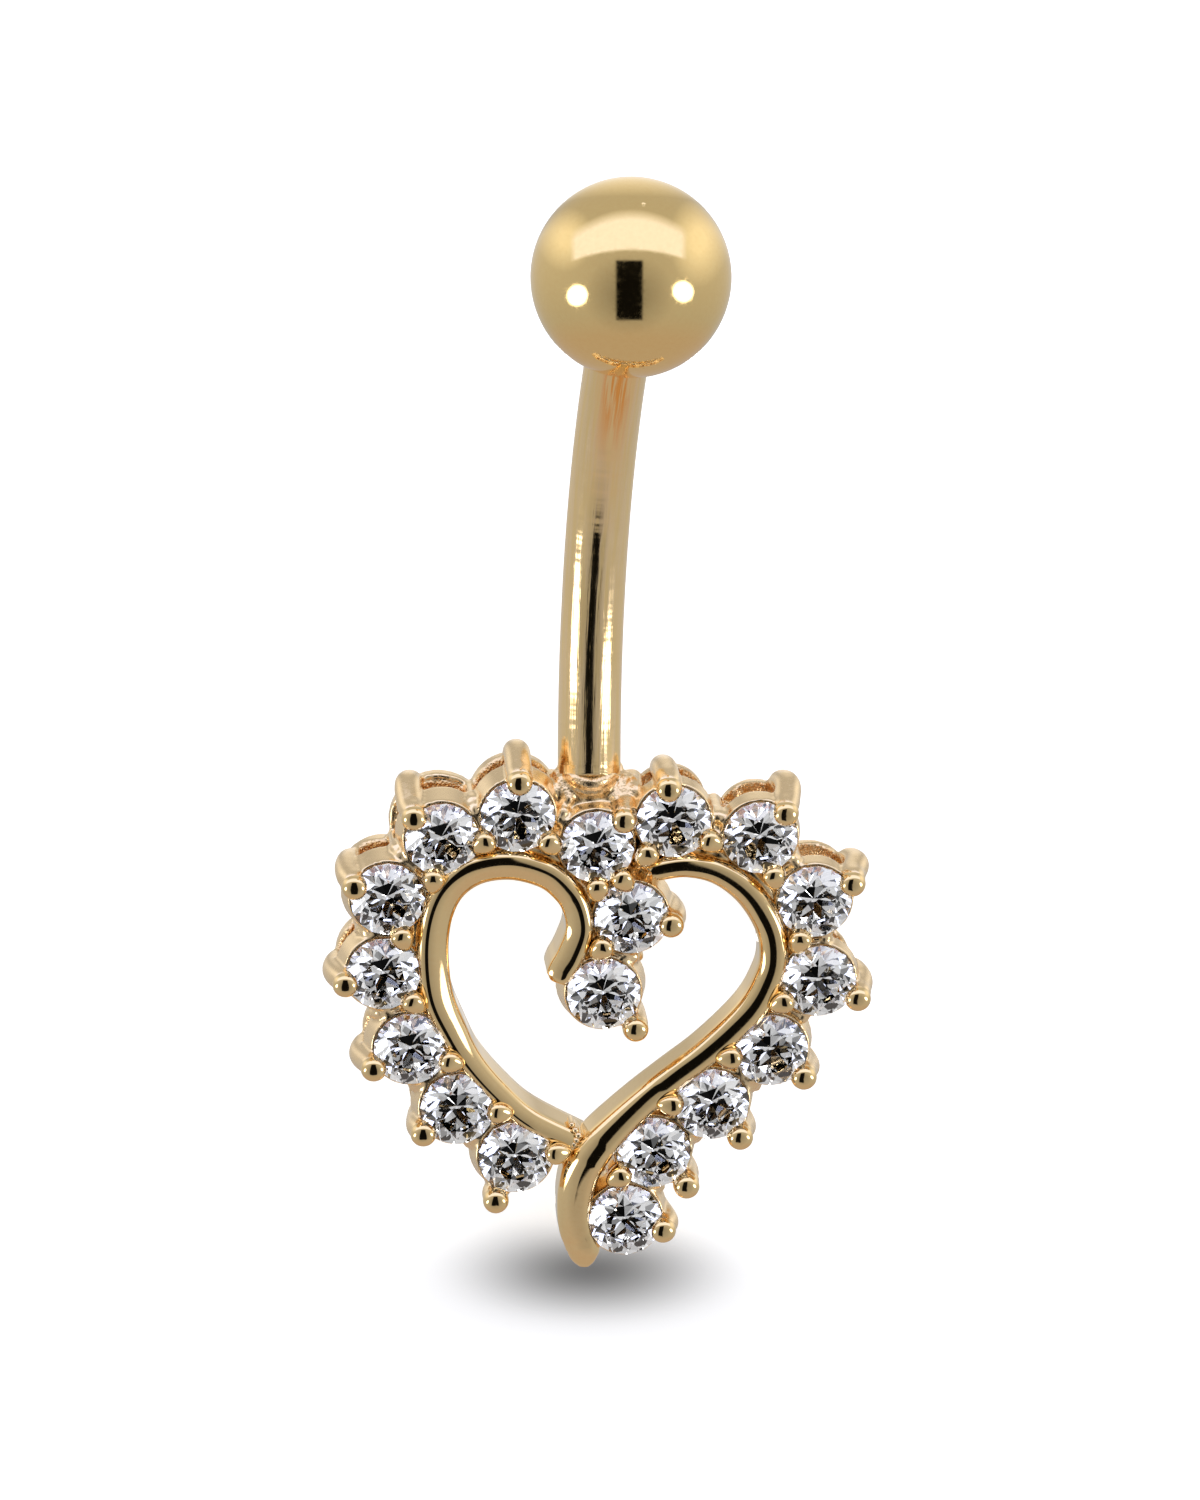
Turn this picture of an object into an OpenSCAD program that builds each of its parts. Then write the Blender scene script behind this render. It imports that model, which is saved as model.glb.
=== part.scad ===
// A navel ring. A curved bar carries a screw-on ball at its upper end, and a
// heart of small round stones is soldered to its lower end. The heart is two
// bent wires with a row of open stone baskets along their outer sides.
// It lies on its back, as it comes to rest by itself.
// Lengths are in millimetres and angles in degrees. The heart's own frame has
// the stones' girdles in its XY plane, with +Y towards the bar and +Z in front.

/* [Barbell] */
// Thickness of the curved bar
bar_d = 1.6; // [1.2:0.1:1.8]
// Radius of the bar's bend, along its centre line
bar_bend_r = 14.6; // [12:0.2:18]
// How steeply the bar leans behind the heart where it leaves it
bar_back_angle = 20.5; // [15:0.5:24]
// How far the bar turns forward over its whole length
bar_sweep = 49.5; // [44:0.5:56]
// Twist of the bend about the heart's upright line
bar_twist = 4.5; // [0:0.5:15]
// Lean of the whole bar to the heart's right
bar_lean = 1.2; // [0:0.2:6]
// How far the bar's centre line lies behind the girdles at its foot
bar_setback = 0.9; // [0.7:0.05:1.1]
// Shift of the bar's foot to the heart's left
bar_foot_shift = 0.15; // [0:0.05:0.4]
// Height of the solder fillet round the bar's foot
fillet_h = 1.0; // [0.5:0.1:1.4]
// How far the solder fillet spreads beyond the bar
fillet_w = 0.2; // [0.1:0.05:0.3]
// Width of the bridge plate under the bar's foot
bridge_w = 0.5; // [0.4:0.05:0.8]

/* [Screw post and ball] */
// Diameter of the ball
ball_d = 5; // [3.5:0.5:6]
// Thickness of the screw post over its thread
post_d = 1.2; // [0.9:0.1:1.2]
// Length of the screw post
post_l = 3; // [2:0.25:3.5]
// Gap round the post in the ball's bore
post_fit = 0.05; // [0.02:0.01:0.1]
// Free depth beyond the post's end in the bore
bore_spare = 0.3; // [0.1:0.1:0.5]
// Gap between the ball's flat and the bar's shoulder
shoulder_gap = 0.03; // [0.02:0.01:0.1]

/* [Stones] */
// Diameter of each stone at its girdle
stone_d = 1.9; // [1.6:0.05:2.2]
// Smallest unit of free space between two stones in a row
stone_gap = 0.15; // [0.1:0.05:0.3]
// Thickness of the girdle
girdle_t = 0.06; // [0.04:0.01:0.1]
// Width of the table as a share of the diameter
table_share = 0.57; // [0.5:0.01:0.65]
// Height of the crown as a share of the diameter
crown_share = 0.15; // [0.1:0.01:0.17]
// Depth of the pavilion as a share of the diameter
pavilion_share = 0.43; // [0.38:0.01:0.46]
// Gap between a stone and the metal that holds it
seat_gap = 0.03; // [0.02:0.01:0.05]

/* [Baskets] */
// Depth of the baskets behind the girdles
basket_depth = 1.9; // [1.7:0.1:2.4]
// How far the seat rail's upper edge stands out beyond the girdle
rail_rim = 0.05; // [0.04:0.01:0.1]
// How far the seat rail's lower edge flares out beyond the girdle
rail_flare = 0.24; // [0.2:0.02:0.3]
// How far the back rail stands out beyond the girdle
back_out = 0.22; // [0.2:0.02:0.3]
// How far the rails reach in under the stone
rail_in = 0.24; // [0.18:0.02:0.3]
// Height of the seat rail
seat_rail_h = 0.65; // [0.4:0.05:0.8]
// Height of the back rail
back_rail_h = 0.45; // [0.3:0.05:0.6]
// Thickness of the outer prongs
prong_d = 0.66; // [0.5:0.02:0.7]
// Thickness of the inner prongs and of the outer prongs' legs
inner_prong_d = 0.56; // [0.44:0.02:0.6]
// How far a prong's tip stands in front of the girdle
prong_rise = 0.37; // [0.35:0.01:0.45]
// Distance from the girdle's edge to the middle of a prong's tip
prong_grip = 0.1; // [0.06:0.02:0.14]
// Distance from the girdle's edge to the middle of a prong's elbow
prong_splay = 0.3; // [0.2:0.02:0.4]
// Depth of a prong's elbow behind the girdle
elbow_depth = 1.15; // [0.9:0.05:1.3]
// Distance from the girdle's edge to the middle of a prong's leg
leg_splay = 0.2; // [0.14:0.02:0.26]
// How far the legs stand behind the back rails
leg_foot = 0.08; // [0.04:0.02:0.14]

/* [Wires] */
// Width of the heart's wires
wire_w = 0.74; // [0.6:0.02:0.8]
// Depth of the left wire from front to back
left_wire_depth = 1.5; // [1.2:0.05:1.7]
// Depth of the right wire from front to back
right_wire_depth = 1.15; // [1:0.05:1.4]
// How far the wires stand in front of the girdles
wire_rise = 0.15; // [0.05:0.05:0.25]

/* [Hidden] */
STONES = 18;
$fn = 48;

GOLD = [0.89, 0.77, 0.55];
CLEAR = [0.88, 0.90, 0.95];

bar_r = bar_d / 2;
ball_r = ball_d / 2;
post_r = post_d / 2;
stone_r = stone_d / 2;
prong_r = prong_d / 2;
inner_r = inner_prong_d / 2;
pitch = stone_d + stone_gap;

// Heights of a stone's levels from the middle of its girdle
table_r = stone_r * table_share;
table_z = girdle_t / 2 + stone_d * crown_share;
culet_z = -girdle_t / 2 - stone_d * pavilion_share;
// The star facets meet the upper girdle facets half way out over the crown
star_r = (table_r + stone_r) / 2;
crown_slope = (table_z - girdle_t / 2) / (stone_r - table_r);
star_z = table_z - (star_r * cos(22.5) - table_r) * crown_slope;
// The lower girdle facets reach four fifths of the way to the culet
lower_r = stone_r * 0.2;
pavilion_slope = (-girdle_t / 2 - culet_z) / stone_r;
lower_z = culet_z + lower_r * cos(22.5) * pavilion_slope;

// The stones in three rows that all start at the stone in the heart's notch.
// Columns: heading from the stone before, free space in stone gaps,
// direction of the outer prong and of the inner prong, and how far out the
// outer prong's tip stands, in prong grips.
FIRST_STONE = [0, 0, 51, -88, 1];
CENTRE_ROW = [
  [-64, 1.5, -4, -134, 0.6],
  [-107.5, 1.7, -45, 135, 1.9]
];
LEFT_ROW = [
  [158, 2, 89, -142, 0.5],
  [198, 0.7, 137, -101, 0.4],
  [230, 1.3, 153, -69, 0],
  [268, 0.8, 190, -43, 0.2],
  [290, 1.8, 204, -16, 0.7],
  [307, 1, 213, -2, 0.7],
  [319, 0.8, 246, 9, 1.9]
];
RIGHT_ROW = [
  [19.5, 1, 99, -128, 0.3],
  [-11, 2.5, 51, -70, 0.2],
  [-50, 2.3, 32, -109, 1.6],
  [-85, 1.7, -20, -150, 1.2],
  [-121.5, 2.1, -36, -172, 1],
  [-135, 1.2, -47, 178, 1.3],
  [-138, 0.5, -43, -145, 1.9],
  [-110, 0.5, -10, 170, 0.3]
];
// Further prongs where two baskets meet. Columns: stone, direction.
EXTRA_PRONGS = [
  [1, -51],
  [4, -39],
  [11, -27]
];

// The wires' routes, in shares of the stone pitch from the first stone.
// Columns: across, along, width as a share of the wire's width.
LEFT_WIRE = [
  [-0.50, -1.82, 0.4],
  [-0.46, -1.76, 0.75],
  [-0.39, -1.62, 0.9],
  [-0.20, -1.26, 0.92],
  [-0.17, -0.86, 0.95],
  [-0.29, -0.49, 0.9],
  [-0.62, -0.31, 0.85],
  [-1.10, -0.24, 0.9],
  [-1.56, -0.32, 0.95],
  [-1.90, -0.64, 1],
  [-2.04, -1.20, 1],
  [-2.00, -1.93, 0.92],
  [-1.77, -2.48, 0.8],
  [-1.49, -2.86, 0.75],
  [-1.12, -3.26, 0.75],
  [-0.73, -3.60, 0.75],
  [-0.08, -3.98, 0.75]
];
RIGHT_WIRE = [
  [0.69, -0.33, 0.4],
  [0.77, -0.30, 0.66],
  [1.13, -0.24, 0.7],
  [1.55, -0.33, 0.78],
  [1.95, -0.62, 0.88],
  [2.21, -1.08, 0.95],
  [2.26, -1.50, 1],
  [2.15, -1.86, 1],
  [1.99, -2.15, 1],
  [1.71, -2.56, 0.95],
  [1.37, -2.84, 0.92],
  [1.02, -3.10, 0.96],
  [0.69, -3.38, 1.02],
  [0.38, -3.68, 1.08],
  [0.15, -3.95, 1.15],
  [-0.02, -4.25, 1.15],
  [-0.11, -4.56, 1.08],
  [-0.11, -4.88, 1.02],
  [-0.05, -5.24, 1],
  [0.03, -5.47, 1],
  [0.06, -5.59, 0.75],
  [0.07, -5.64, 0.4]
];
// Steps along the wire between two points of its route
WIRE_STEPS = 3;
// Segments round the wire's front
WIRE_ROUND = 6;

function stone_name(i) = str("stone_", i < 10 ? "0" : "", i);
function polar(r, a) = [r * cos(a), r * sin(a)];
function step(row) = polar(stone_d + stone_gap * row[1], row[0]);
// Centre of the nth stone of a row, counted from the first stone, which is 0
function along(rows, n) = n == 0 ? [0, 0] : along(rows, n - 1) + step(rows[n - 1]);
// Stones 1 to 3 are the centre row, 4 to 10 the left row, 11 to 18 the right row
function stone_row(i) =
  i == 1 ? FIRST_STONE :
  i < 4 ? CENTRE_ROW[i - 2] :
  i < 11 ? LEFT_ROW[i - 4] :
  RIGHT_ROW[i - 11];
function stone_at(i) =
  i < 4 ? along(CENTRE_ROW, i - 1) :
  i < 11 ? along(LEFT_ROW, i - 3) :
  along(RIGHT_ROW, i - 10);
function point3(p, z) = [p[0], p[1], z];

// What a stone's row says; the outer prongs are bent, the inner ones straight
function outer_way(i) = stone_row(i)[2];
function inner_way(i) = stone_row(i)[3];
function tip_out(i) = prong_grip * stone_row(i)[4];
function beside(i, a, out, z) = point3(stone_at(i) + polar(stone_r + out, a), z);
function foot_end(i, a) = beside(i, a, leg_splay, inner_r - basket_depth - leg_foot);

// A smooth curve through a wire's points, with its width as the third value
function bend(a, b, c, d, t) =
  0.5 * (2 * b + (c - a) * t + (2 * a - 5 * b + 4 * c - d) * t * t
    + (3 * b - a - 3 * c + d) * t * t * t);
function route(rows) =
  let (n = len(rows))
  concat(
    [for (i = [0:n - 2]) for (s = [0:WIRE_STEPS - 1])
      bend(rows[max(i - 1, 0)], rows[i], rows[i + 1], rows[min(i + 2, n - 1)], s / WIRE_STEPS)],
    [rows[n - 1]]
  );
function wire_end(rows, z) = point3([rows[len(rows) - 1][0], rows[len(rows) - 1][1]] * pitch, z);

// Places along the bar, in the heart's frame
foot_at = [-bar_foot_shift, stone_r + seat_gap * 2, -bar_setback];
function turn_x(p, a) = [p[0], p[1] * cos(a) - p[2] * sin(a), p[1] * sin(a) + p[2] * cos(a)];
function turn_y(p, a) = [p[0] * cos(a) + p[2] * sin(a), p[1], p[2] * cos(a) - p[0] * sin(a)];
function turn_z(p, a) = [p[0] * cos(a) - p[1] * sin(a), p[0] * sin(a) + p[1] * cos(a), p[2]];
function set_bar(p) = turn_z(turn_y(turn_x(p, -bar_back_angle), bar_twist), -bar_lean);
function bar_point(t) = foot_at + set_bar([0, bar_bend_r * sin(t), bar_bend_r * (1 - cos(t))]);
function bar_heading(t) = set_bar([0, cos(t), sin(t)]);
// The ball's flat is as wide as the bar's shoulder
ball_flat = sqrt(ball_r * ball_r - bar_r * bar_r);
ball_at = bar_point(bar_sweep) + bar_heading(bar_sweep) * (ball_flat + shoulder_gap);

// The ring rests on three round places: the back of the bar's bend, a prong's
// foot on the right lobe and a prong's foot near the tip. The first guess has
// the bend's lowest place square to the heart; the second uses the found floor.
LOBE_REST = [15, outer_way(15)];
TIP_REST = [18, outer_way(18)];
function floor_normal(t) =
  let (
    low = bar_point(t) - [0, 0, bar_r - inner_r],
    lobe = foot_end(LOBE_REST[0], LOBE_REST[1]),
    tip = foot_end(TIP_REST[0], TIP_REST[1]),
    n = cross(lobe - low, tip - low)
  )
  n / norm(n) * sign(n[2]);
function lowest_turn(n) = atan2(-n * set_bar([0, 1, 0]), n * set_bar([0, 0, 1]));
first_normal = floor_normal(bar_back_angle);
up = floor_normal(lowest_turn(first_normal));
tilt_axis = cross(up, [0, 0, 1]);
tilt = acos(up[2]);
// Turns a point of the heart's frame into the resting frame, before it is centred
function tilted(p) =
  let (k = tilt_axis / norm(tilt_axis))
  p * cos(tilt) + cross(k, p) * sin(tilt) + k * (k * p) * (1 - cos(tilt));
// Every rounded end that can be the outermost place of the ring
ENDS = concat(
  [for (i = [1:STONES]) [tilted(beside(i, outer_way(i), prong_splay, -elbow_depth)), prong_r]],
  [[tilted(wire_end(RIGHT_WIRE, -right_wire_depth / 2)), 0]],
  [[tilted(ball_at), ball_r]]
);
function lowest(k) = min([for (e = ENDS) e[0][k] - e[1]]);
function highest(k) = max([for (e = ENDS) e[0][k] + e[1]]);
floor_z = tilted(bar_point(lowest_turn(up)))[2] - bar_r;
middle = [(lowest(0) + highest(0)) / 2, (lowest(1) + highest(1)) / 2, floor_z];

// Lays a piece from the heart's frame down on the floor
module lying() {
  translate(-middle) rotate(a = tilt, v = tilt_axis) children();
}

// Puts a piece at a place on the bar, with +Y along the bar
module on_bar(t) {
  translate(foot_at)
    rotate([0, 0, -bar_lean])
      rotate([0, bar_twist, 0])
        rotate([-bar_back_angle, 0, 0])
          translate([0, 0, bar_bend_r])
            rotate([t, 0, 0])
              translate([0, 0, -bar_bend_r])
                children();
}

// A rod with round ends, standing on the middle of its lower end
module round_rod(r, l) {
  rotate_extrude()
    intersection() {
      union() {
        circle(r);
        square([r, l]);
        translate([0, l]) circle(r);
      }
      translate([0, -r]) square([r, l + 2 * r]);
    }
}

// A round rod between two places that stand above each other in one direction
module rod_between(a, b, r, direction) {
  d = b - a;
  reach = [d[0], d[1]] * [cos(direction), sin(direction)];
  translate(a)
    rotate([0, 0, direction])
      rotate([0, atan2(reach, d[2]), 0])
        round_rod(r, norm(d));
}

// An outer prong: a claw from its elbow to its tip, on a leg
module outer_prong(i, a) {
  elbow = beside(i, a, prong_splay, -elbow_depth);
  tip = beside(i, a, tip_out(i), prong_rise - prong_r);
  rod_between(elbow, tip, prong_r, a);
  rod_between(foot_end(i, a), beside(i, a, leg_splay, -elbow_depth), inner_r, a);
}

// An inner prong: a straight rod that rises from inside the basket's rails
module inner_prong(i, a) {
  rod_between(
    beside(i, a, leg_splay, -elbow_depth),
    beside(i, a, prong_grip, prong_rise - inner_r),
    inner_r,
    a
  );
}

// The seat rail flares out from the girdle; the back rail is a plain ring
module basket(i) {
  bore_r = stone_r - rail_in;
  top = -girdle_t / 2 - seat_gap;
  translate(point3(stone_at(i), 0))
    difference() {
      union() {
        translate([0, 0, top - seat_rail_h])
          cylinder(r1 = stone_r + rail_flare, r2 = stone_r + rail_rim, h = seat_rail_h);
        translate([0, 0, -basket_depth])
          cylinder(r = stone_r + back_out, h = back_rail_h);
      }
      translate([0, 0, -basket_depth - 1]) cylinder(r = bore_r, h = basket_depth + 1);
    }
}

// The room that a stone needs in the metal round it
module stone_room(i) {
  g = seat_gap;
  translate(point3(stone_at(i), 0))
    rotate_extrude()
      polygon([
        [0, culet_z - 2 * g],
        [lower_r + g, lower_z - g],
        [stone_r + g, -girdle_t / 2 - g / 2],
        [stone_r + g, girdle_t / 2 + g / 2],
        [star_r + g, star_z + g],
        [table_r + g, table_z + g],
        [0, table_z + g]
      ]);
}

// A wire of the heart: flat sides and back, round front, swept along its route
module wire(rows, depth) {
  path = route(rows);
  n = len(path);
  m = WIRE_ROUND + 3;
  function side(k) =
    let (d = path[min(k + 1, n - 1)] - path[max(k - 1, 0)])
    [-d[1], d[0]] / norm([d[0], d[1]]);
  function ring_point(k, j) =
    let (
      w = path[k][2] * wire_w / 2,
      a = 180 * j / WIRE_ROUND,
      off = j > WIRE_ROUND ? w * (j == m - 2 ? -1 : 1) : w * cos(a),
      z = j > WIRE_ROUND ? wire_rise - depth : wire_rise - w + w * sin(a),
      p = [path[k][0], path[k][1]] * pitch + side(k) * off
    )
    point3(p, z);
  polyhedron(
    points = [for (k = [0:n - 1]) for (j = [0:m - 1]) ring_point(k, j)],
    faces = concat(
      [[for (j = [0:m - 1]) j]],
      [[for (j = [m - 1:-1:0]) (n - 1) * m + j]],
      [for (k = [0:n - 2]) for (j = [0:m - 1])
        [k * m + j, (k + 1) * m + j, k * m + (j + 1) % m]],
      [for (k = [0:n - 2]) for (j = [0:m - 1])
        [(k + 1) * m + j, (k + 1) * m + (j + 1) % m, k * m + (j + 1) % m]]
    )
  );
}

// The bar, its screw post and the solder fillet round its foot
module curved_bar() {
  on_bar(0)
    translate([0, 0, bar_bend_r])
      rotate([0, 90, 0])
        rotate_extrude(angle = bar_sweep, $fn = 96)
          translate([bar_bend_r, 0])
            circle(bar_r);
  on_bar(0)
    rotate([-90, 0, 0])
      cylinder(r1 = bar_r + fillet_w, r2 = bar_r - fillet_w / 2, h = fillet_h);
  on_bar(bar_sweep)
    rotate([-90, 0, 0])
      translate([0, 0, -bar_r])
        cylinder(r = post_r, h = post_l + bar_r);
}

// The cast plate that joins the bar's foot to the three baskets round it
module bridge() {
  left = stone_at(4);
  right = stone_at(11);
  translate([left[0] + stone_r, stone_r, -basket_depth])
    cube([right[0] - left[0] - stone_d, bridge_w, basket_depth - bar_setback]);
}

module heart_and_bar() {
  color(GOLD)
    lying()
      difference() {
        union() {
          curved_bar();
          bridge();
          wire(LEFT_WIRE, left_wire_depth);
          wire(RIGHT_WIRE, right_wire_depth);
          for (i = [1:STONES]) basket(i);
          for (i = [1:STONES]) outer_prong(i, outer_way(i));
          for (i = [1:STONES]) inner_prong(i, inner_way(i));
          for (p = EXTRA_PRONGS) inner_prong(p[0], p[1]);
        }
        for (i = [1:STONES]) stone_room(i);
      }
}

// The ball has a flat for the bar's shoulder and a blind bore for the post
module ball() {
  color(GOLD)
    lying()
      on_bar(bar_sweep)
        rotate([-90, 0, 0])
          translate([0, 0, ball_flat + shoulder_gap])
            difference() {
              sphere(ball_r, $fn = 96);
              translate([0, 0, -ball_flat - ball_r]) cylinder(r = ball_r, h = ball_r);
              translate([0, 0, -ball_flat - 1])
                cylinder(r = post_r + post_fit, h = post_l + bore_spare + 1);
            }
}

// A round brilliant with 8 kites, 8 stars, 16 upper and 16 lower girdle facets
module brilliant() {
  function ring(r, z, n, first) = [for (k = [0:n - 1]) point3(polar(r, first + 360 * k / n), z)];
  // First point of each ring, and the culet
  star = 8;
  upper = 16;
  under = 32;
  lower = 48;
  culet = 56;
  polyhedron(
    points = concat(
      ring(table_r, table_z, 8, 0),
      ring(star_r, star_z, 8, 22.5),
      ring(stone_r, girdle_t / 2, 16, 0),
      ring(stone_r, -girdle_t / 2, 16, 0),
      ring(lower_r, lower_z, 8, 22.5),
      [[0, 0, culet_z]]
    ),
    faces = concat(
      [[for (k = [7:-1:0]) k]],
      [for (k = [0:7]) [k, (k + 1) % 8, star + k]],
      [for (k = [0:7]) [k, star + k, upper + 2 * k, star + (k + 7) % 8]],
      [for (k = [0:7]) [star + k, upper + 2 * k + 1, upper + 2 * k]],
      [for (k = [0:7]) [star + k, upper + (2 * k + 2) % 16, upper + 2 * k + 1]],
      [for (j = [0:15]) [upper + j, upper + (j + 1) % 16, under + (j + 1) % 16, under + j]],
      [for (k = [0:7]) [under + 2 * k, under + 2 * k + 1, lower + k]],
      [for (k = [0:7]) [under + 2 * k + 1, under + (2 * k + 2) % 16, lower + k]],
      [for (k = [0:7]) [culet, lower + (k + 7) % 8, under + 2 * k, lower + k]]
    )
  );
}

module stone(i) {
  color(CLEAR)
    lying()
      translate(point3(stone_at(i), 0))
        brilliant();
}

heart_and_bar();
ball();
for (i = [1:STONES])
  stone(i);
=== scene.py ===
# %% [markdown]
# # A navel ring in polished gold with a heart of clear stones
#
# The real ring is cast and soldered: a bent rod with a screw-on ball, two bent
# wires that make a heart, and a row of open baskets that each grip one round
# stone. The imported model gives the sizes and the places. This lesson dresses it:
# it loads that model, rebuilds the metal with softer edges, cuts the stones,
# mixes the metal and lights a small studio.
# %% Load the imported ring
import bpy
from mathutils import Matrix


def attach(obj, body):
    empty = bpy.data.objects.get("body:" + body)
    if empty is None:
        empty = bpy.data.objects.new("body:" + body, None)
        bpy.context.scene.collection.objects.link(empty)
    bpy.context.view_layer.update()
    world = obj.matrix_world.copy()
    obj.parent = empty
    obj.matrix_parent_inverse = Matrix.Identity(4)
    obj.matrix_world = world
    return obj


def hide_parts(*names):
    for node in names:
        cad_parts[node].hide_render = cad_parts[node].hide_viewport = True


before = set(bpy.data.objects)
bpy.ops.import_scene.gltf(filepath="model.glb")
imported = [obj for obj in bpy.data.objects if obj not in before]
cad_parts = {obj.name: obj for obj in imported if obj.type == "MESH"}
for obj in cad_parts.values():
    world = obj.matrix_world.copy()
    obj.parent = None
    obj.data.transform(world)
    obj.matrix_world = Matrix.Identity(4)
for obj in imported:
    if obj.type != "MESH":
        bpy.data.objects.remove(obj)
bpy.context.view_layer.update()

# %% Tools of this lesson
import math

import bmesh
import bpy
import numpy as np
from mathutils import Matrix, Vector

print("Blender", bpy.app.version_string, "and numpy", np.__version__)

# %% [markdown]
# The heart has a frame of its own, in millimetres: the stones' widest edges, their
# girdles, lie in its XY plane, +Y points to the ball and +Z out of the front. The
# packed ring lies on its back and is tilted by a few degrees, so one matrix takes
# every point of the heart's frame to its place on the table, in metres.
# %% The heart's own frame
MM = 0.001
LYING_TILT = math.radians(3.05067)
LYING_AXIS = Vector((0.0336909, 0.041197, 0))
LYING_SHIFT = Vector((-0.137943, -3.10447, 2.41602))
HEART = (
    Matrix.Scale(MM, 4)
    @ Matrix.Translation(LYING_SHIFT)
    @ Matrix.Rotation(LYING_TILT, 4, LYING_AXIS)
)


def place(points):
    """Takes points of the heart's frame, in millimetres, to the table, in metres."""
    h = np.array(HEART)
    return np.asarray(points, float) @ h[:3, :3].T + h[:3, 3]


first_height = place([(0, 0, 0)])[0, 2] / MM
print("the first stone's middle is", round(first_height, 2), "mm above the table")

# %% [markdown]
# The camera stands well in front of the heart and looks down on it from the ball's
# side, so that the backs of the upper baskets show. A long lens keeps the small
# ring from looking bulged. The three rows of the view are the camera's right, up
# and backward directions in the heart's frame.
# %% Directions of the camera
CAMERA_PITCH = math.radians(19)
CAMERA_YAW = math.radians(-5)


def camera_rows(pitch, yaw):
    """The camera's right, up and backward directions in the heart's frame."""
    sp, cp, sw, cw = math.sin(pitch), math.cos(pitch), math.sin(yaw), math.cos(yaw)
    return [
        Vector((cw, -sw * sp, -sw * cp)),
        Vector((0, cp, -sp)),
        Vector((sw, cw * sp, cw * cp)),
    ]


view_rows = camera_rows(CAMERA_PITCH, CAMERA_YAW)
turn = HEART.to_3x3().normalized()
camera_axes = [(turn @ row).normalized() for row in view_rows]
print("the camera looks from", [round(c, 2) for c in camera_axes[2]])

# %% Camera
CAMERA_DISTANCE = 230.0
PIXELS_PER_MM = 39.4
IMAGE_W, IMAGE_H = 1200, 1500
# Where the middle of the first stone falls in the picture
AIM_X, AIM_Y = 597, 847
SENSOR = 24
lens_cam = bpy.data.cameras.new("photo_camera")
camera = bpy.data.objects.new("photo_camera", lens_cam)
bpy.context.scene.collection.objects.link(camera)
stand = Matrix([list(a) for a in camera_axes]).transposed().to_4x4()
stand.translation = HEART @ (view_rows[2] * CAMERA_DISTANCE)
camera.matrix_world = stand
lens_cam.sensor_fit = "VERTICAL"
lens_cam.sensor_height = lens_cam.sensor_width = SENSOR
lens_cam.lens = PIXELS_PER_MM * CAMERA_DISTANCE * SENSOR / IMAGE_H
# The picture is not centred on the first stone; the shift is in shares of the height
lens_cam.shift_x = (IMAGE_W / 2 - AIM_X) / IMAGE_H
lens_cam.shift_y = (AIM_Y - IMAGE_H / 2) / IMAGE_H
lens_cam.clip_start, lens_cam.clip_end = 0.01, 5
bpy.context.scene.camera = camera
print("camera", round(camera.location.z / MM, 1), "mm up, lens", round(lens_cam.lens, 1), "mm")

# %% [markdown]
# A setter lays the stones out first and fits the metal to them, so the stones'
# middles come first here too. Each row starts at the stone in the heart's notch.
# The columns are the heading from the stone before, the free space between the
# two in stone gaps, the direction of the outer prong and of the inner prong, and
# how far out the outer prong's tip stands, in prong grips.
# %% Rows of stones
STONE_D = 1.9
STONE_R = STONE_D / 2
STONE_GAP = 0.15
PITCH = STONE_D + STONE_GAP
CENTRE_ROW = [(-64, 1.5, -4, -134, 0.6), (-107.5, 1.7, -45, 135, 2.3)]
LEFT_ROW = [
    (158, 2, 89, -142, 0.5),
    (198, 0.7, 137, -101, 0.4),
    (230, 1.3, 153, -69, 0),
    (268, 0.8, 190, -43, 0.2),
    (290, 1.8, 204, -16, 0.7),
    (307, 1, 213, -2, 0.7),
    (319, 0.8, 246, 9, 2.2),
]
RIGHT_ROW = [
    (19.5, 1, 99, -128, 0.3),
    (-11, 2.5, 51, -70, 0.2),
    (-50, 2.3, 32, -109, 1.6),
    (-85, 1.7, -20, -150, 1.2),
    (-121.5, 2.1, -36, -172, 1),
    (-135, 1.2, -47, 178, 1.3),
    (-138, 0.5, -43, -145, 2.3),
    (-110, 0.5, -10, 170, 0.3),
]
# Further inner prongs where two baskets meet: stone, direction
EXTRA_PRONGS = [(1, -51), (4, -39), (11, -27)]
print("a stone and its gap take", PITCH, "mm of a row")

# %% Places of the stones
def polar(r, degrees):
    a = math.radians(degrees)
    return np.array([r * math.cos(a), r * math.sin(a)])


def row_places(first, row):
    """Numbers and places a row of stones, each from the one before it."""
    at, out = np.zeros(2), {}
    for number, (heading, gaps, outer, inner, reach) in enumerate(row, first):
        at = at + polar(STONE_D + STONE_GAP * gaps, heading)
        out[number] = {"at": at, "outer": outer, "inner": inner, "reach": reach}
    return out


STONES = {1: {"at": np.zeros(2), "outer": 51, "inner": -88, "reach": 1}}
STONES.update(row_places(2, CENTRE_ROW))
STONES.update(row_places(4, LEFT_ROW))
STONES.update(row_places(11, RIGHT_ROW))
# Neighbours that share a web of metal
NEIGHBOURS = [(1, 2), (2, 3), (1, 4), (1, 11), (2, 11)]
NEIGHBOURS += [(a, a + 1) for a in [*range(4, 10), *range(11, 18)]]


def beside(number, degrees, out, z):
    """A point beside a stone, at that distance beyond its girdle and that height."""
    return np.append(STONES[number]["at"] + polar(STONE_R + out, degrees), z)


farthest = max(np.linalg.norm(s["at"]) for s in STONES.values())
print(len(STONES), "stones; the farthest is", round(farthest, 2), "mm away")

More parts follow.
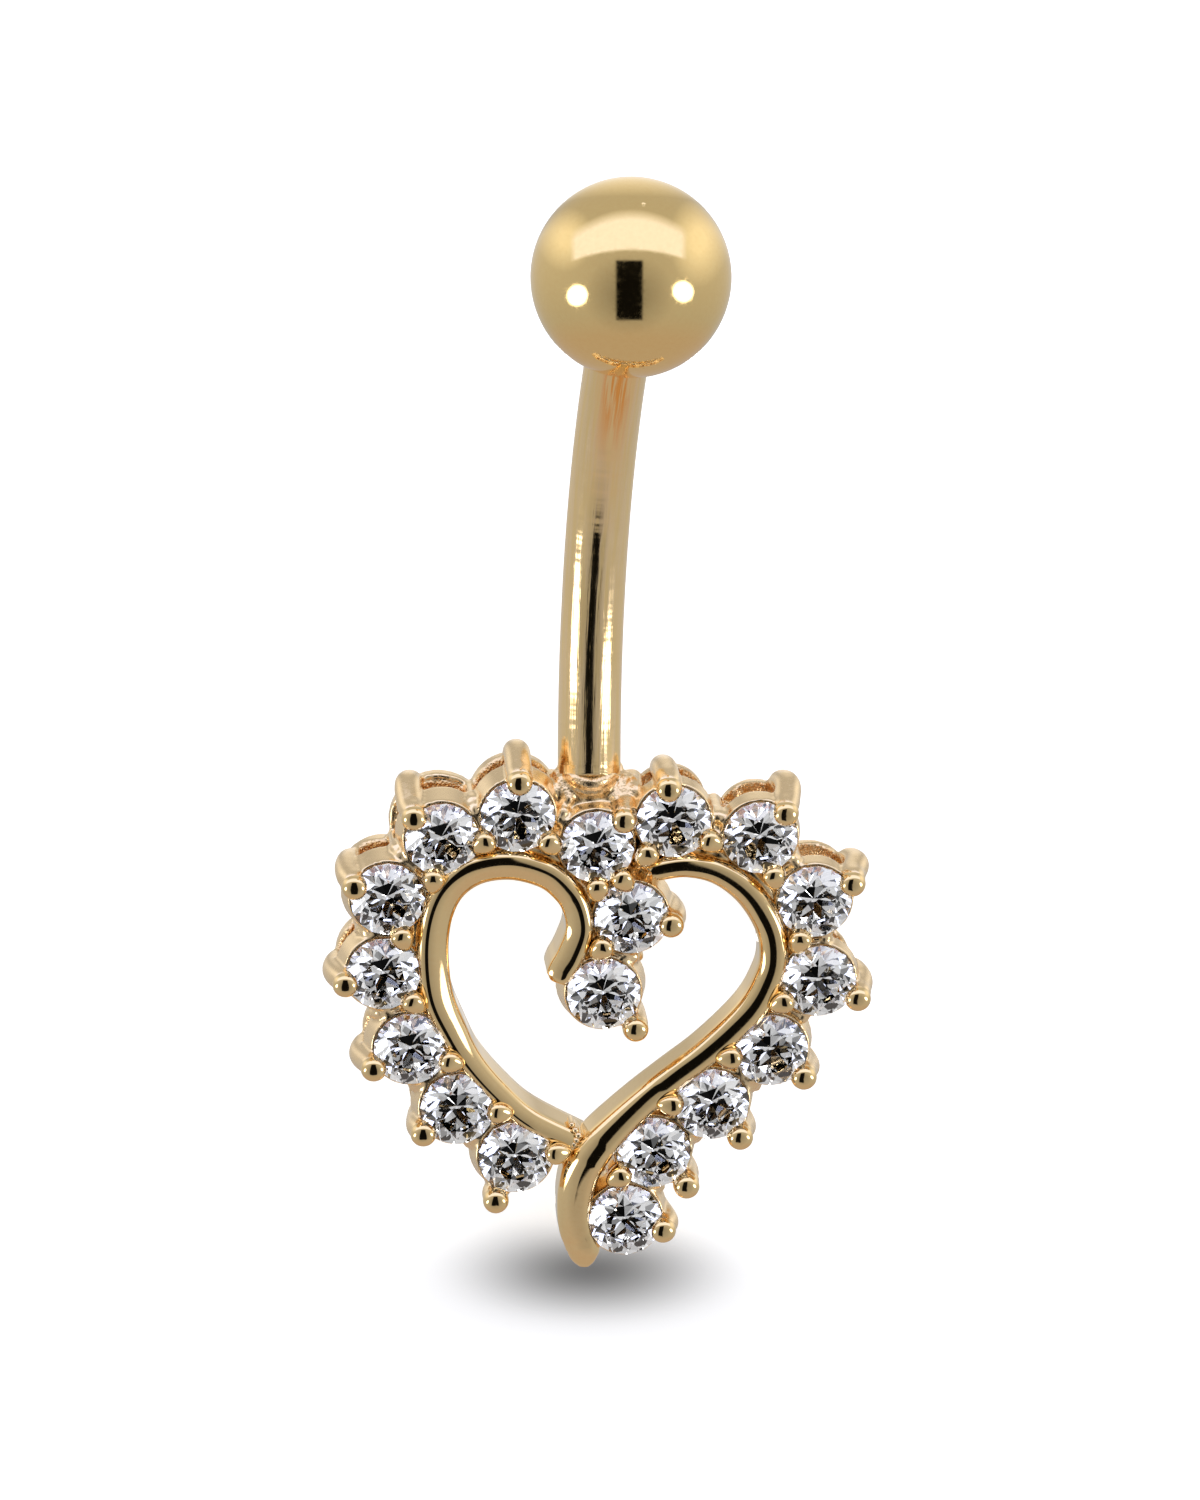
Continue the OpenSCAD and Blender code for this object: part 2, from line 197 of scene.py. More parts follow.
# %% [markdown]
# Wire, rod and prongs are all one kind of shape: a section pushed along a path.
# The helper lofts rings of points into a skin and closes both ends. Building the
# skin from rings keeps long, even faces, so polished metal reflects in clean lines.
# %% An object from points
def add_mesh(name, points, faces, smooth=True):
    """Makes an object from points of the heart's frame."""
    mesh = bpy.data.meshes.new(name)
    mesh.from_pydata([tuple(p) for p in place(points)], [], [tuple(f) for f in faces])
    mesh.validate()
    bm = bmesh.new()
    bm.from_mesh(mesh)
    bmesh.ops.recalc_face_normals(bm, faces=bm.faces)
    bm.to_mesh(mesh)
    bm.free()
    mesh.shade_smooth() if smooth else mesh.shade_flat()
    piece = bpy.data.objects.new(name, mesh)
    bpy.context.scene.collection.objects.link(piece)
    return piece


def count(piece):
    piece.data.calc_loop_triangles()
    return len(piece.data.loop_triangles)


def join(parts):
    """Several point and face lists as one."""
    points, faces = [], []
    for p, f in parts:
        faces += [tuple(i + len(points) for i in face) for face in f]
        points += list(p)
    return points, faces


corner = ([(0, 0, 0), (1, 0, 0), (0, 1, 0)], [(0, 1, 2)])
print("two corners joined have", len(join([corner, corner])[0]), "points")


# %% Skins
def skin(rings):
    """Points and faces of a closed skin over rings that all have as many points."""
    n, m = len(rings), len(rings[0])
    points = [p for ring in rings for p in ring]
    faces = [
        (k * m + j, k * m + (j + 1) % m, (k + 1) * m + (j + 1) % m, (k + 1) * m + j)
        for k in range(n - 1)
        for j in range(m)
    ]
    points += [np.mean(rings[0], axis=0), np.mean(rings[-1], axis=0)]
    faces += [(n * m, (j + 1) % m, j) for j in range(m)]
    faces += [(n * m + 1, (n - 1) * m + j, (n - 1) * m + (j + 1) % m) for j in range(m)]
    return points, faces


def lathe(centre, profile, segments=72):
    """A ring-shaped or solid turned skin: profile is a closed loop of (radius, height)."""
    points, faces, m = [], [], len(profile)
    for k in range(segments):
        c, s = math.cos(2 * math.pi * k / segments), math.sin(2 * math.pi * k / segments)
        points += [(centre[0] + r * c, centre[1] + r * s, z) for r, z in profile]
    for k in range(segments):
        n = (k + 1) % segments
        for j in range(m):
            i = (j + 1) % m
            faces.append((k * m + j, n * m + j, n * m + i, k * m + i))
    return points, faces


washer = lathe((0, 0), [(1, 0), (2, 0), (2, 1), (1, 1)])
print("a turned washer has", len(washer[1]), "faces")

# %% [markdown]
# A bent rod is easiest to steer by a few points with a smooth curve through them.
# The rings along it are each turned from the one before, so the rod never twists,
# and half balls close its ends as solder and molten metal do.
# %% Paths and rods
def smooth_path(rows, steps):
    """A smooth curve through rows of numbers, whatever they stand for."""
    rows = [np.array(r, float) for r in rows]
    out, last = [], len(rows) - 1
    for i in range(last):
        a, b, c, d = rows[max(i - 1, 0)], rows[i], rows[i + 1], rows[min(i + 2, last)]
        bend, swing = 2 * a - 5 * b + 4 * c - d, 3 * b - a - 3 * c + d
        for t in np.arange(steps) / steps:
            out.append(0.5 * (2 * b + (c - a) * t + bend * t**2 + swing * t**3))
    return np.array([*out, rows[last]])


def tube_rings(path, radii, sides=24):
    """Rings of a round rod along a path, square to it, that never twist."""
    path = np.asarray(path, float)
    tangents = np.gradient(path, axis=0)
    tangents /= np.linalg.norm(tangents, axis=1)[:, None]
    side = np.cross(tangents[0], [0.3, 0.5, 0.8])
    rings = []
    for p, t, r in zip(path, tangents, radii):
        side = side - t * (side @ t)
        side /= np.linalg.norm(side)
        other = np.cross(t, side)
        a = 2 * math.pi * np.arange(sides) / sides
        rings.append(p + r * (np.cos(a)[:, None] * side + np.sin(a)[:, None] * other))
    return rings


def round_tube(path, radii, sides=24):
    """A closed round rod along a path."""
    return skin(tube_rings(path, radii, sides))


def round_ends(path, radii, steps=6):
    """Adds the rings that close a rod with half balls at both ends."""
    path, radii = np.asarray(path, float), list(radii)
    head, tail = path[0] - path[1], path[-1] - path[-2]
    head, tail = head / np.linalg.norm(head), tail / np.linalg.norm(tail)
    angles = [math.pi / 2 * k / steps for k in range(steps, 0, -1)]
    start = [path[0] + head * radii[0] * math.sin(a) for a in angles]
    end = [path[-1] + tail * radii[-1] * math.sin(a) for a in reversed(angles)]
    closed = [max(math.cos(a), 0.02) for a in angles]
    return (
        np.array([*start, *path, *end]),
        [radii[0] * c for c in closed] + radii + [radii[-1] * c for c in reversed(closed)],
    )


def rod(a, b, r, sides=20):
    """A straight rod with round ends from one point to another."""
    path = np.linspace(a, b, 8)
    return round_tube(*round_ends(path, [r] * 8), sides)


print("a straight rod has", len(rod((0, 0, 0), (0, 0, 1), 0.2)[0]), "points")

# %% [markdown]
# ## The metal
#
# Fourteen karat gold is paler than fine gold. Three effects lie on it: the faint
# waves and hairlines that a polishing wheel leaves, the grainy skin of a casting
# where no wheel reaches, and the streaks of a drawing die. Each is a node group
# that puts out a height and a mask only; the shader stays in the material.
# %% Node helpers
def node(tree, kind, **settings):
    """A new node with some of its settings, such as its operation."""
    made = tree.nodes.new(kind)
    for key, value in settings.items():
        setattr(made, key, value)
    return made


def join_up(tree, *pairs):
    """Links outputs to inputs, two by two."""
    for source, target in pairs:
        tree.links.new(source, target)


def ramp(tree, source, low, high, low_value, high_value):
    """Maps a mask onto a range of values."""
    made = node(tree, "ShaderNodeMapRange")
    tree.links.new(source, made.inputs["Value"])
    values = {"From Min": low, "From Max": high, "To Min": low_value, "To Max": high_value}
    for socket, value in values.items():
        made.inputs[socket].default_value = value
    return made.outputs["Result"]


def effect_group(name, inputs):
    """An empty node group with float inputs, a height and a mask."""
    group = bpy.data.node_groups.new(name, "ShaderNodeTree")
    for label, value in inputs:
        socket = group.interface.new_socket(label, in_out="INPUT", socket_type="NodeSocketFloat")
        socket.default_value = value
    for label in ("Height", "Mask"):
        group.interface.new_socket(label, in_out="OUTPUT", socket_type="NodeSocketFloat")
    given, result = group.nodes.new("NodeGroupInput"), group.nodes.new("NodeGroupOutput")
    return group, given.outputs, result.inputs


def noise(tree, where, scale, detail, dimensions="3D"):
    """A noise texture, by a place and a scale that other nodes give."""
    made = node(tree, "ShaderNodeTexNoise", noise_dimensions=dimensions)
    made.inputs["Detail"].default_value = detail
    place_socket = "W" if dimensions == "1D" else "Vector"
    join_up(tree, (where, made.inputs[place_socket]), (scale, made.inputs["Scale"]))
    return made.outputs["Fac"]


def weigh(tree, fine, share, broad):
    """A broad height with a share of a fine one on it."""
    mix = node(tree, "ShaderNodeMath", operation="MULTIPLY_ADD")
    join_up(tree, (fine, mix.inputs[0]), (share, mix.inputs[1]), (broad, mix.inputs[2]))
    return mix.outputs[0]


print("node helpers are ready")


# %% Wheel marks
def wheel_marks_group():
    """Soft waves and fine hairlines of a polishing wheel."""
    group, given, result = effect_group(
        "wheel_marks", [("Wave Scale", 900.0), ("Hairline Scale", 9000.0), ("Hairline Share", 0.2)]
    )
    where = node(group, "ShaderNodeTexCoord").outputs["Object"]
    waves = noise(group, where, given["Wave Scale"], 2)
    lines = noise(group, where, given["Hairline Scale"], 4)
    height = weigh(group, lines, given["Hairline Share"], waves)
    join_up(group, (height, result["Height"]), (lines, result["Mask"]))
    return group


WHEEL_MARKS = wheel_marks_group()
print(WHEEL_MARKS.name, "has", len(WHEEL_MARKS.nodes), "nodes")

# %% [markdown]
# A casting keeps the grain of the plaster that it was poured into, with small pits
# where air was caught. Noise gives the grain, and a cell pattern gives the pits.
# %% Cast skin
def cast_skin_group():
    """The grain of investment plaster on metal that was never polished."""
    group, given, result = effect_group(
        "cast_skin", [("Grain Scale", 5000.0), ("Pit Scale", 14000.0)]
    )
    where = node(group, "ShaderNodeTexCoord").outputs["Object"]
    grain = noise(group, where, given["Grain Scale"], 5)
    pits = node(group, "ShaderNodeTexVoronoi")
    add = node(group, "ShaderNodeMath", operation="ADD")
    join_up(group, (where, pits.inputs["Vector"]), (given["Pit Scale"], pits.inputs["Scale"]))
    join_up(group, (grain, add.inputs[0]), (pits.outputs["Distance"], add.inputs[1]))
    join_up(group, (add.outputs[0], result["Height"]), (grain, result["Mask"]))
    return group


CAST_SKIN = cast_skin_group()
print(CAST_SKIN.name, "has", len(CAST_SKIN.nodes), "nodes")

# %% [markdown]
# A rod is pulled through a hole in a hard plate, which draws long streaks along it.
# The bar's mesh says where each point lies on the rod, so the streaks follow the
# bend, and a ripple across them stands for the small steps of the pull.
# %% Drawing lines
def draw_lines_group():
    """Long streaks that a drawing die leaves along a rod."""
    group, given, result = effect_group(
        "draw_lines", [("Streak Scale", 9.0), ("Ripple Scale", 40.0), ("Ripple Share", 1.0)]
    )
    on_rod = node(group, "ShaderNodeAttribute", attribute_name="on_rod").outputs["Vector"]
    along = node(group, "ShaderNodeAttribute", attribute_name="along_rod").outputs["Fac"]
    streaks = noise(group, on_rod, given["Streak Scale"], 4)
    ripples = noise(group, along, given["Ripple Scale"], 2, "1D")
    height = weigh(group, ripples, given["Ripple Share"], streaks)
    join_up(group, (height, result["Height"]), (streaks, result["Mask"]))
    return group


DRAW_LINES = draw_lines_group()
print(DRAW_LINES.name, "has", len(DRAW_LINES.nodes), "nodes")

# %% [markdown]
# Each finish is one physical shader. What differs over a surface reaches it through
# a few kinds of nodes, so these get helpers: a blend of two colours by a mask, and
# a bump by a height, with its depth in metres.
# %% Material helpers
def principled(name, metallic):
    """A new material, its node tree and its shader's inputs."""
    mat = bpy.data.materials.new(name)
    mat.use_nodes = True
    shader = mat.node_tree.nodes["Principled BSDF"].inputs
    shader["Metallic"].default_value = metallic
    return mat, mat.node_tree, shader


def blend_colours(tree, first, second):
    """A colour mix whose colours are sockets or plain colours."""
    mix = node(tree, "ShaderNodeMix", data_type="RGBA")
    for socket, colour in (("A", first), ("B", second)):
        if isinstance(colour, tuple):
            mix.inputs[socket].default_value = colour
        else:
            tree.links.new(colour, mix.inputs[socket])
    return mix.inputs["Factor"], mix.outputs["Result"]


def bump_from(tree, height, distance):
    """A bump node over a height, with its depth in metres."""
    bump = node(tree, "ShaderNodeBump")
    bump.inputs["Strength"].default_value = 1
    bump.inputs["Distance"].default_value = distance
    tree.links.new(height, bump.inputs["Height"])
    return bump


print("material helpers are ready")

# %% [markdown]
# The ball and the wires are polished to a mirror, and the prong tips with them.
# Between the baskets only a brush reaches, so that gold stays satin, and deep in
# the slots it keeps its cast skin: duller and grainy, and painted darker and a
# little red for the shade there. The mesh says how far each point is from the
# wheel's reach, and the material follows it.
# %% Gold, polished and as cast
GOLD_BALL = (0.97, 0.72, 0.33, 1)
GOLD_HEART = (0.98, 0.735, 0.385, 1)
GOLD_SATIN = (1.0, 0.76, 0.455, 1)
# The red gold of a cast skin, also painted deep in the slots as shade; a little of it varies the
# polished tone
GOLD_DEEP_AND_SHADE = (0.82, 0.41, 0.1, 1)
CAST_GRAIN = 0.00006
CAST_ROUGHNESS = 0.36


def gold_material(name, colour, cast_by_attribute, wave, wave_scale, softest):
    """Polished gold, with waves of that depth in metres and that greatest roughness.

    Where the mesh says so, it turns into a cast skin, with painted shade: a darker, redder gold.
    """
    mat, tree, shader = principled(name, 1)
    marks = node(tree, "ShaderNodeGroup", node_tree=WHEEL_MARKS)
    marks.inputs["Wave Scale"].default_value = wave_scale
    bump = bump_from(tree, marks.outputs["Height"], wave)
    share, tone = blend_colours(tree, colour, GOLD_DEEP_AND_SHADE)
    mask = marks.outputs["Mask"]
    rough = ramp(tree, mask, 0.3, 0.7, softest * softest, softest)
    if cast_by_attribute:
        # The cast skin's share, which also paints the slots darker and redder as shade
        cast_and_shade = node(tree, "ShaderNodeAttribute", attribute_name="cast_and_shade").outputs["Fac"]
        grain = node(tree, "ShaderNodeGroup", node_tree=CAST_SKIN)
        height = node(tree, "ShaderNodeMath", operation="MULTIPLY")
        join_up(tree, (grain.outputs["Height"], height.inputs[0]), (cast_and_shade, height.inputs[1]))
        polished = bump
        bump = bump_from(tree, height.outputs[0], CAST_GRAIN)
        dull = node(tree, "ShaderNodeMix", data_type="FLOAT")
        dull.inputs["B"].default_value = CAST_ROUGHNESS
        join_up(tree, (polished.outputs["Normal"], bump.inputs["Normal"]), (cast_and_shade, share))
        join_up(tree, (cast_and_shade, dull.inputs["Factor"]), (rough, dull.inputs["A"]))
        rough = dull.outputs["Result"]
    else:
        tree.links.new(ramp(tree, mask, 0.2, 0.8, 0, 0.12), share)
    join_up(tree, (bump.outputs["Normal"], shader["Normal"]), (rough, shader["Roughness"]))
    tree.links.new(tone, shader["Base Color"])
    return mat


GOLD = gold_material("polished_gold", GOLD_BALL, False, 0.0000012, 700, 0.14)
WIRE_GOLD = gold_material("wire_gold", GOLD_HEART, False, 0.0000012, 900, 0.1)
SETTING_GOLD = gold_material("setting_gold", GOLD_SATIN, True, 0.0000025, 1500, 0.34)
print("gold:", GOLD.name, WIRE_GOLD.name, SETTING_GOLD.name)

# %% [markdown]
# The bar is bought as drawn rod and only buffed along its length, so its streaks
# stay. Two tones of gold alternate with them. Below the ball, on the side turned
# to the camera, the streaks carry a painted orange reflection of the ball's dark
# underside.
# %% Drawn gold
GOLD_BAR = (1.0, 0.735, 0.36, 1)
GOLD_ROSE = (1.0, 0.75, 0.43, 1)
# Painted reflection of the ball's underside, laid on the streaks below the ball
ORANGE_REFLECTION = (1.0, 0.47, 0.12, 1)
STREAK_DEPTH = 0.000012


def bar_material():
    """Drawn rod: streaks along it, a warmer tone where the streaks are rough, and a painted orange
    reflection below the ball.
    """
    mat, tree, shader = principled("drawn_gold", 1)
    lines = node(tree, "ShaderNodeGroup", node_tree=DRAW_LINES)
    bump = bump_from(tree, lines.outputs["Height"], STREAK_DEPTH)
    mask = lines.outputs["Mask"]
    share, tone = blend_colours(tree, GOLD_BAR, GOLD_ROSE)
    # Where the painted reflection of the ball lies
    ball_reflection = node(tree, "ShaderNodeAttribute", attribute_name="ball_reflection").outputs["Fac"]
    reflection_share = node(tree, "ShaderNodeMath", operation="MULTIPLY", use_clamp=True)
    join_up(
        tree,
        (ramp(tree, mask, 0.4, 0.6, 0, 1), share),
        (ramp(tree, ball_reflection, 0, 1, 0, 1.3), reflection_share.inputs[0]),
        (ramp(tree, mask, 0.42, 0.54, 0, 1), reflection_share.inputs[1]),
    )
    orange, deep = blend_colours(tree, tone, ORANGE_REFLECTION)
    join_up(
        tree,
        (reflection_share.outputs[0], orange),
        (deep, shader["Base Color"]),
        (bump.outputs["Normal"], shader["Normal"]),
        (ramp(tree, mask, 0.35, 0.65, 0.06, 0.2), shader["Roughness"]),
    )
    return mat


DRAWN_GOLD = bar_material()
print("rod:", DRAWN_GOLD.name, "with", len(DRAWN_GOLD.node_tree.nodes), "nodes")

# %% [markdown]
# Every piece ends the same way: it gets its material, moves with a body of the
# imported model, and stands for the solid that it was modelled on.
# %% Finishing a piece
def finish_piece(piece, material, body, slot, *nodes):
    """Gives a piece its material and its body, and hides the nodes it stands for. The slot is not
    used.
    """
    piece.data.materials.clear()
    piece.data.materials.append(material)
    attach(piece, body)
    if nodes:
        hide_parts(*nodes)
    print(piece.name, "has", count(piece), "triangles")


# %% [markdown]
# ## The bar
#
# The bar is drawn rod, bent on a mandrel, so it is a round tube along an arc. Its
# upper end has a shoulder for the ball and a cut thread. The numbers are the
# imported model's own.
# %% Arc of the bar
BAR_R = 0.8
BEND_R = 14.6
BACK_ANGLE, SWEEP, TWIST, LEAN = 20.5, 49.5, 4.5, 1.2
FOOT_AT = np.array([-0.15, STONE_R + 0.06, -0.9])
BAR_TURN = (
    Matrix.Rotation(math.radians(-LEAN), 3, "Z")
    @ Matrix.Rotation(math.radians(TWIST), 3, "Y")
    @ Matrix.Rotation(math.radians(-BACK_ANGLE), 3, "X")
)


def bar_point(t):
    """A point of the bar's middle line, t degrees round from its foot."""
    a = math.radians(t)
    rise = Vector((0, BEND_R * math.sin(a), BEND_R * (1 - math.cos(a))))
    return FOOT_AT + np.array(BAR_TURN @ rise)


def bar_heading(t):
    a = math.radians(t)
    return np.array(BAR_TURN @ Vector((0, math.cos(a), math.sin(a))))


BAR_STEPS = 96
arc = [bar_point(SWEEP * k / BAR_STEPS) for k in range(BAR_STEPS + 1)]
end, ahead = bar_point(SWEEP), bar_heading(SWEEP)
print("the bar is", round(BEND_R * math.radians(SWEEP), 2), "mm long")

# %% [markdown]
# A file breaks the sharp edge of the shoulder, so the last rings follow a quarter
# circle inward. The foot is filed at a slant, so that it sits on the bridge behind
# the first stone: the rings near it are sheared along the bar.
# %% Rings of the bar
EDGE = 0.06
quarter = np.linspace(0, math.pi / 2, 6)
shoulder = [
    (end + ahead * (-EDGE * (1 - math.sin(a))), BAR_R - EDGE * (1 - math.cos(a)))
    for a in quarter
]
path = [p for p in arc[:-1] if np.linalg.norm(p - end) > 2 * EDGE] + [p for p, _ in shoulder]
radii = [BAR_R] * (len(path) - len(shoulder)) + [r for _, r in shoulder]
rings = tube_rings(path, radii, 64)
# How much the foot's cut takes off, and how far up the bar the shear fades
FOOT_CUT = 0.58
CUT_FADE = 0.9
heading, front = bar_heading(0), np.cross([1, 0, 0], bar_heading(0))
for k, (p, ring) in enumerate(zip(path, rings)):
    left = max(0, 1 - np.linalg.norm(p - path[0]) / CUT_FADE)
    share = np.clip(((ring - p) @ front / BAR_R + 1) / 2, 0, 1)
    rings[k] = ring + np.outer(FOOT_CUT * left * share, heading)
bar = add_mesh("curved_bar", *skin(rings))
print("rings:", len(rings))

# %% [markdown]
# The drawing streaks need each point's place on the straight rod: round it in
# millimetres, and along it much shortened, so that the streaks come out long. A
# second field paints the ball's reflection on the rod's last millimetres: it is
# strongest on the side turned to the camera and a little to its right.
# %% Fields on the bar
STREAK_STRETCH = 0.05


def add_field(piece, name, values):
    """Writes a number, or a row of three, for each point of a piece."""
    values = np.array(values, np.float32)
    kind, slot = ("FLOAT", "value") if values.ndim == 1 else ("FLOAT_VECTOR", "vector")
    field = piece.data.attributes.new(name, kind, "POINT")
    field.data.foreach_set(slot, values.ravel())


lengths = np.r_[0, np.cumsum(np.linalg.norm(np.diff(np.array(path), axis=0), axis=1))]
sides = np.arange(len(rings[0])) * 2 * math.pi / len(rings[0])
on_rod = [
    (BAR_R * math.cos(a), BAR_R * math.sin(a), d * STREAK_STRETCH)
    for d in lengths
    for a in sides
]
on_rod += [on_rod[0], on_rod[-1]]
add_field(bar, "on_rod", on_rod)
add_field(bar, "along_rod", [p[2] for p in on_rod])
# How far below the ball the painted reflection shows, and how much its side is turned aside from
# the camera
REFLECTION_REACH, REFLECTION_SIDE = 2.6, 0.12
painted_reflection_dir = np.array(view_rows[2]) + REFLECTION_SIDE * np.array(view_rows[0])
# Share of the painted reflection of the ball at each point
under = []
for d, ring, p in zip(lengths, rings, path):
    turned_to = (ring - p) @ painted_reflection_dir
    facing = np.clip((turned_to / turned_to.max() - 0.86) / 0.12, 0, 1)
    under += list(facing * np.clip(1.25 - (lengths[-1] - d) / REFLECTION_REACH, 0, 1))
add_field(bar, "ball_reflection", [*under, 0, 0])
finish_piece(bar, DRAWN_GOLD, "setting", "gold", "heart_and_bar")

# %% [markdown]
# The thread is one groove that climbs round the post. A tube whose radius follows
# the angle and the height makes it with no cutting: each ring point looks up how
# deep the groove is there.
# %% Screw post
POST_R, POST_L = 0.6, 3.0
THREAD_PITCH = 0.25
THREAD_DEPTH = 0.07
# Two directions square to the bar's end, for what is turned round it
post_side = np.cross(ahead, [1, 0, 0])
post_side /= np.linalg.norm(post_side)
post_other = np.cross(ahead, post_side)


def threaded_post(sides=48):
    """The post's skin: a rod whose radius dips where the groove runs."""
    rings = []
    for h in np.linspace(-0.3, POST_L, 210):
        ring = []
        for k in range(sides):
            turn_share = (h / THREAD_PITCH - k / sides) % 1
            groove = THREAD_DEPTH * (0.5 + 0.5 * math.cos(2 * math.pi * turn_share))
            lead = min(1, max(0, h / 0.3), max(0, (POST_L - 0.02 - h) / 0.2))
            chamfer = max(0, h - (POST_L - 0.12)) * 0.9
            a = 2 * math.pi * k / sides
            r = POST_R - groove * lead - chamfer
            ring.append(end + ahead * h + r * (math.cos(a) * post_side + math.sin(a) * post_other))
        rings.append(ring)
    return skin(rings)


post = add_mesh("screw_post", *threaded_post())
finish_piece(post, GOLD, "setting", "gold", "heart_and_bar")

# %% [markdown]
# ## The ball
#
# The ball is turned, with a small flat that sits on the bar's shoulder and a
# tapped hole. A lathe profile from the bottom of the hole round to the top of the
# ball makes it in one skin.
# %% Ball
BALL_R = 2.5
BALL_FLAT = math.sqrt(BALL_R**2 - BAR_R**2)
SHOULDER_GAP = 0.03
BORE_R = POST_R + 0.05
BORE_DEPTH = POST_L + 0.3
BALL_AT = end + ahead * (BALL_FLAT + SHOULDER_GAP)
# Polishing takes a few thousandths off the turned ball
TURNED_R = BALL_R - 0.008
# A lathe can't close on its own axis, so the profile stops just beside it
AXIS_R = 0.0004


def turned_ball():
    """The ball's skin, from the bottom of its hole round to its top."""
    mouth = -BALL_FLAT
    profile = [(AXIS_R, mouth + BORE_DEPTH + 0.12), (BORE_R, mouth + BORE_DEPTH)]
    profile += [(BORE_R, mouth + BORE_DEPTH * (1 - k / 24)) for k in range(1, 24)]
    profile += [(BORE_R, mouth + 0.1), (BORE_R + 0.06, mouth + 0.01), (BAR_R - 0.05, mouth)]
    start = math.asin(BAR_R / BALL_R) + 0.012
    for a in np.linspace(start, math.pi, 72):
        profile.append((max(TURNED_R * math.sin(a), AXIS_R), -TURNED_R * math.cos(a)))
    points, faces = lathe((0, 0), profile, 96)
    return [BALL_AT + x * post_side + y * post_other + z * ahead for x, y, z in points], faces


ball = add_mesh("ball_polished", *turned_ball())
finish_piece(ball, GOLD, "ball", "gold", "ball")

# %% [markdown]
# ## The heart's two wires
#
# Each wire is drawn with a domed front and flat sides, bent to half a heart and
# soldered where it crosses the other. The route is a table of points in shares of
# the stones' pitch: across, along, and the width as a share of the wire's width.
# %% Routes of the wires
WIRE_W = 0.74
LEFT_WIRE = [
    (-0.455, -1.79, 0.25),
    (-0.45, -1.775, 0.55),
    (-0.435, -1.745, 0.78),
    (-0.415, -1.7, 0.9),
    (-0.37, -1.61, 0.96),
    (-0.28, -1.44, 0.97),
    (-0.18, -1.12, 0.95),
    (-0.22, -0.83, 0.97),
    (-0.35, -0.60, 0.98),
    (-0.62, -0.37, 1.05),
    (-1.08, -0.25, 1.1),
    (-1.54, -0.34, 1.1),
    (-1.87, -0.65, 1.12),
    (-2.01, -1.20, 1.12),
    (-1.955, -1.92, 1.13),
    (-1.73, -2.45, 0.99),
    (-1.48, -2.865, 0.81),
    (-1.13, -3.27, 0.75),
    (-0.74, -3.62, 0.75),
    (-0.08, -3.98, 0.75),
]
RIGHT_WIRE = [
    (0.69, -0.34, 0.45),
    (0.77, -0.31, 0.74),
    (1.13, -0.26, 0.8),
    (1.54, -0.35, 0.88),
    (1.93, -0.64, 0.97),
    (2.20, -1.08, 1),
    (2.26, -1.50, 1),
    (2.17, -1.85, 1.03),
    (2.01, -2.16, 1.06),
    (1.74, -2.47, 1.03),
    (1.41, -2.78, 0.98),
    (1.05, -3.07, 0.97),
    (0.69, -3.38, 1.02),
    (0.38, -3.68, 1.1),
    (0.14, -3.95, 1.2),
    (-0.04, -4.25, 1.27),
    (-0.12, -4.56, 1.25),
    (-0.13, -4.88, 1.2),
    (-0.09, -5.12, 1.24),
    (-0.04, -5.26, 1.24),
    (-0.005, -5.4, 1.17),
    (0.002, -5.5, 1.0),
    (0.008, -5.59, 0.72),
    (0.01, -5.65, 0.36),
]
print("points on the wires' routes:", len(LEFT_WIRE), "and", len(RIGHT_WIRE))

# %% [markdown]
# The wire's section is a rounded dome on straight walls. A power above two makes
# the dome flatter in the middle than a circle, a lean moves its crest to the stones,
# and a tilt lowers the side away from the stones.
# %% Section of a wire
WIRE_RISE = 0.15
DOME_H = 0.62
WALL_OUT = 0.012


def wire_section(half, depth, power, lean, tilt):
    """Across and height of a domed section, from one wall over the front to the other."""
    dome = [(-math.cos(a), math.sin(a)) for a in np.linspace(0.1 * math.pi, 0.9 * math.pi, 31)]
    edge, lift = -(abs(dome[0][0]) ** (2 / power)), dome[0][1] ** (2 / power)
    top = []
    for x, y in dome:
        across = math.copysign(abs(x) ** (2 / power), x) / -edge
        up = (y ** (2 / power) - lift) / (1 - lift)
        front = WIRE_RISE - half * (DOME_H * (1 - up) + tilt * (1 + across) / 2)
        top.append((half * (across + lean * (1 - across**2)), front))
    low = WIRE_RISE - depth
    left = [(-half - WALL_OUT, z) for z in np.linspace(top[0][1] - 0.05, low + 0.06, 7)]
    right = [(half + WALL_OUT, z) for z in np.linspace(top[-1][1] - 0.05, low + 0.06, 7)]
    foot = [(-half + 0.03, low), (half - 0.03, low)]
    return [foot[0], *reversed(left), *top, *right, foot[1]]


print("a section has", len(wire_section(WIRE_W / 2, 1, 2, 0, 0)), "points")

# %% [markdown]
# The right wire climbs over the left one where they cross, then slopes down to the
# heart's tip, and its dome changes a little on the way. Both free ends are filed
# round. So the sections are lifted, blended and lowered one by one along the route.
# %% Wires
# Power, lean and tilt of each dome
LEFT_DOME, RIGHT_DOME, TIP_DOME = (1.8, 0.3, 0), (2.4, -0.06, 0), (2.2, -0.2, 0.1)
# Rows of the right wire's route between which its dome turns into the tip's
TURN_ROWS = (12, 16)
# Places along, in pitches, and the right wire's lift there, in millimetres
LIFT_AT, LIFT = (-5.65, -4.15, -3.9, -3.2), (-0.27, 0.19, 0.2, 0)
# The left wire dives over its last ten sections, where the right one covers it
DIVE_AT, DIVE = (1, 10), (-0.16, 0)
TIP_ROUND = 0.3
LEFT_DEPTH, RIGHT_DEPTH = 1.5, 1.15


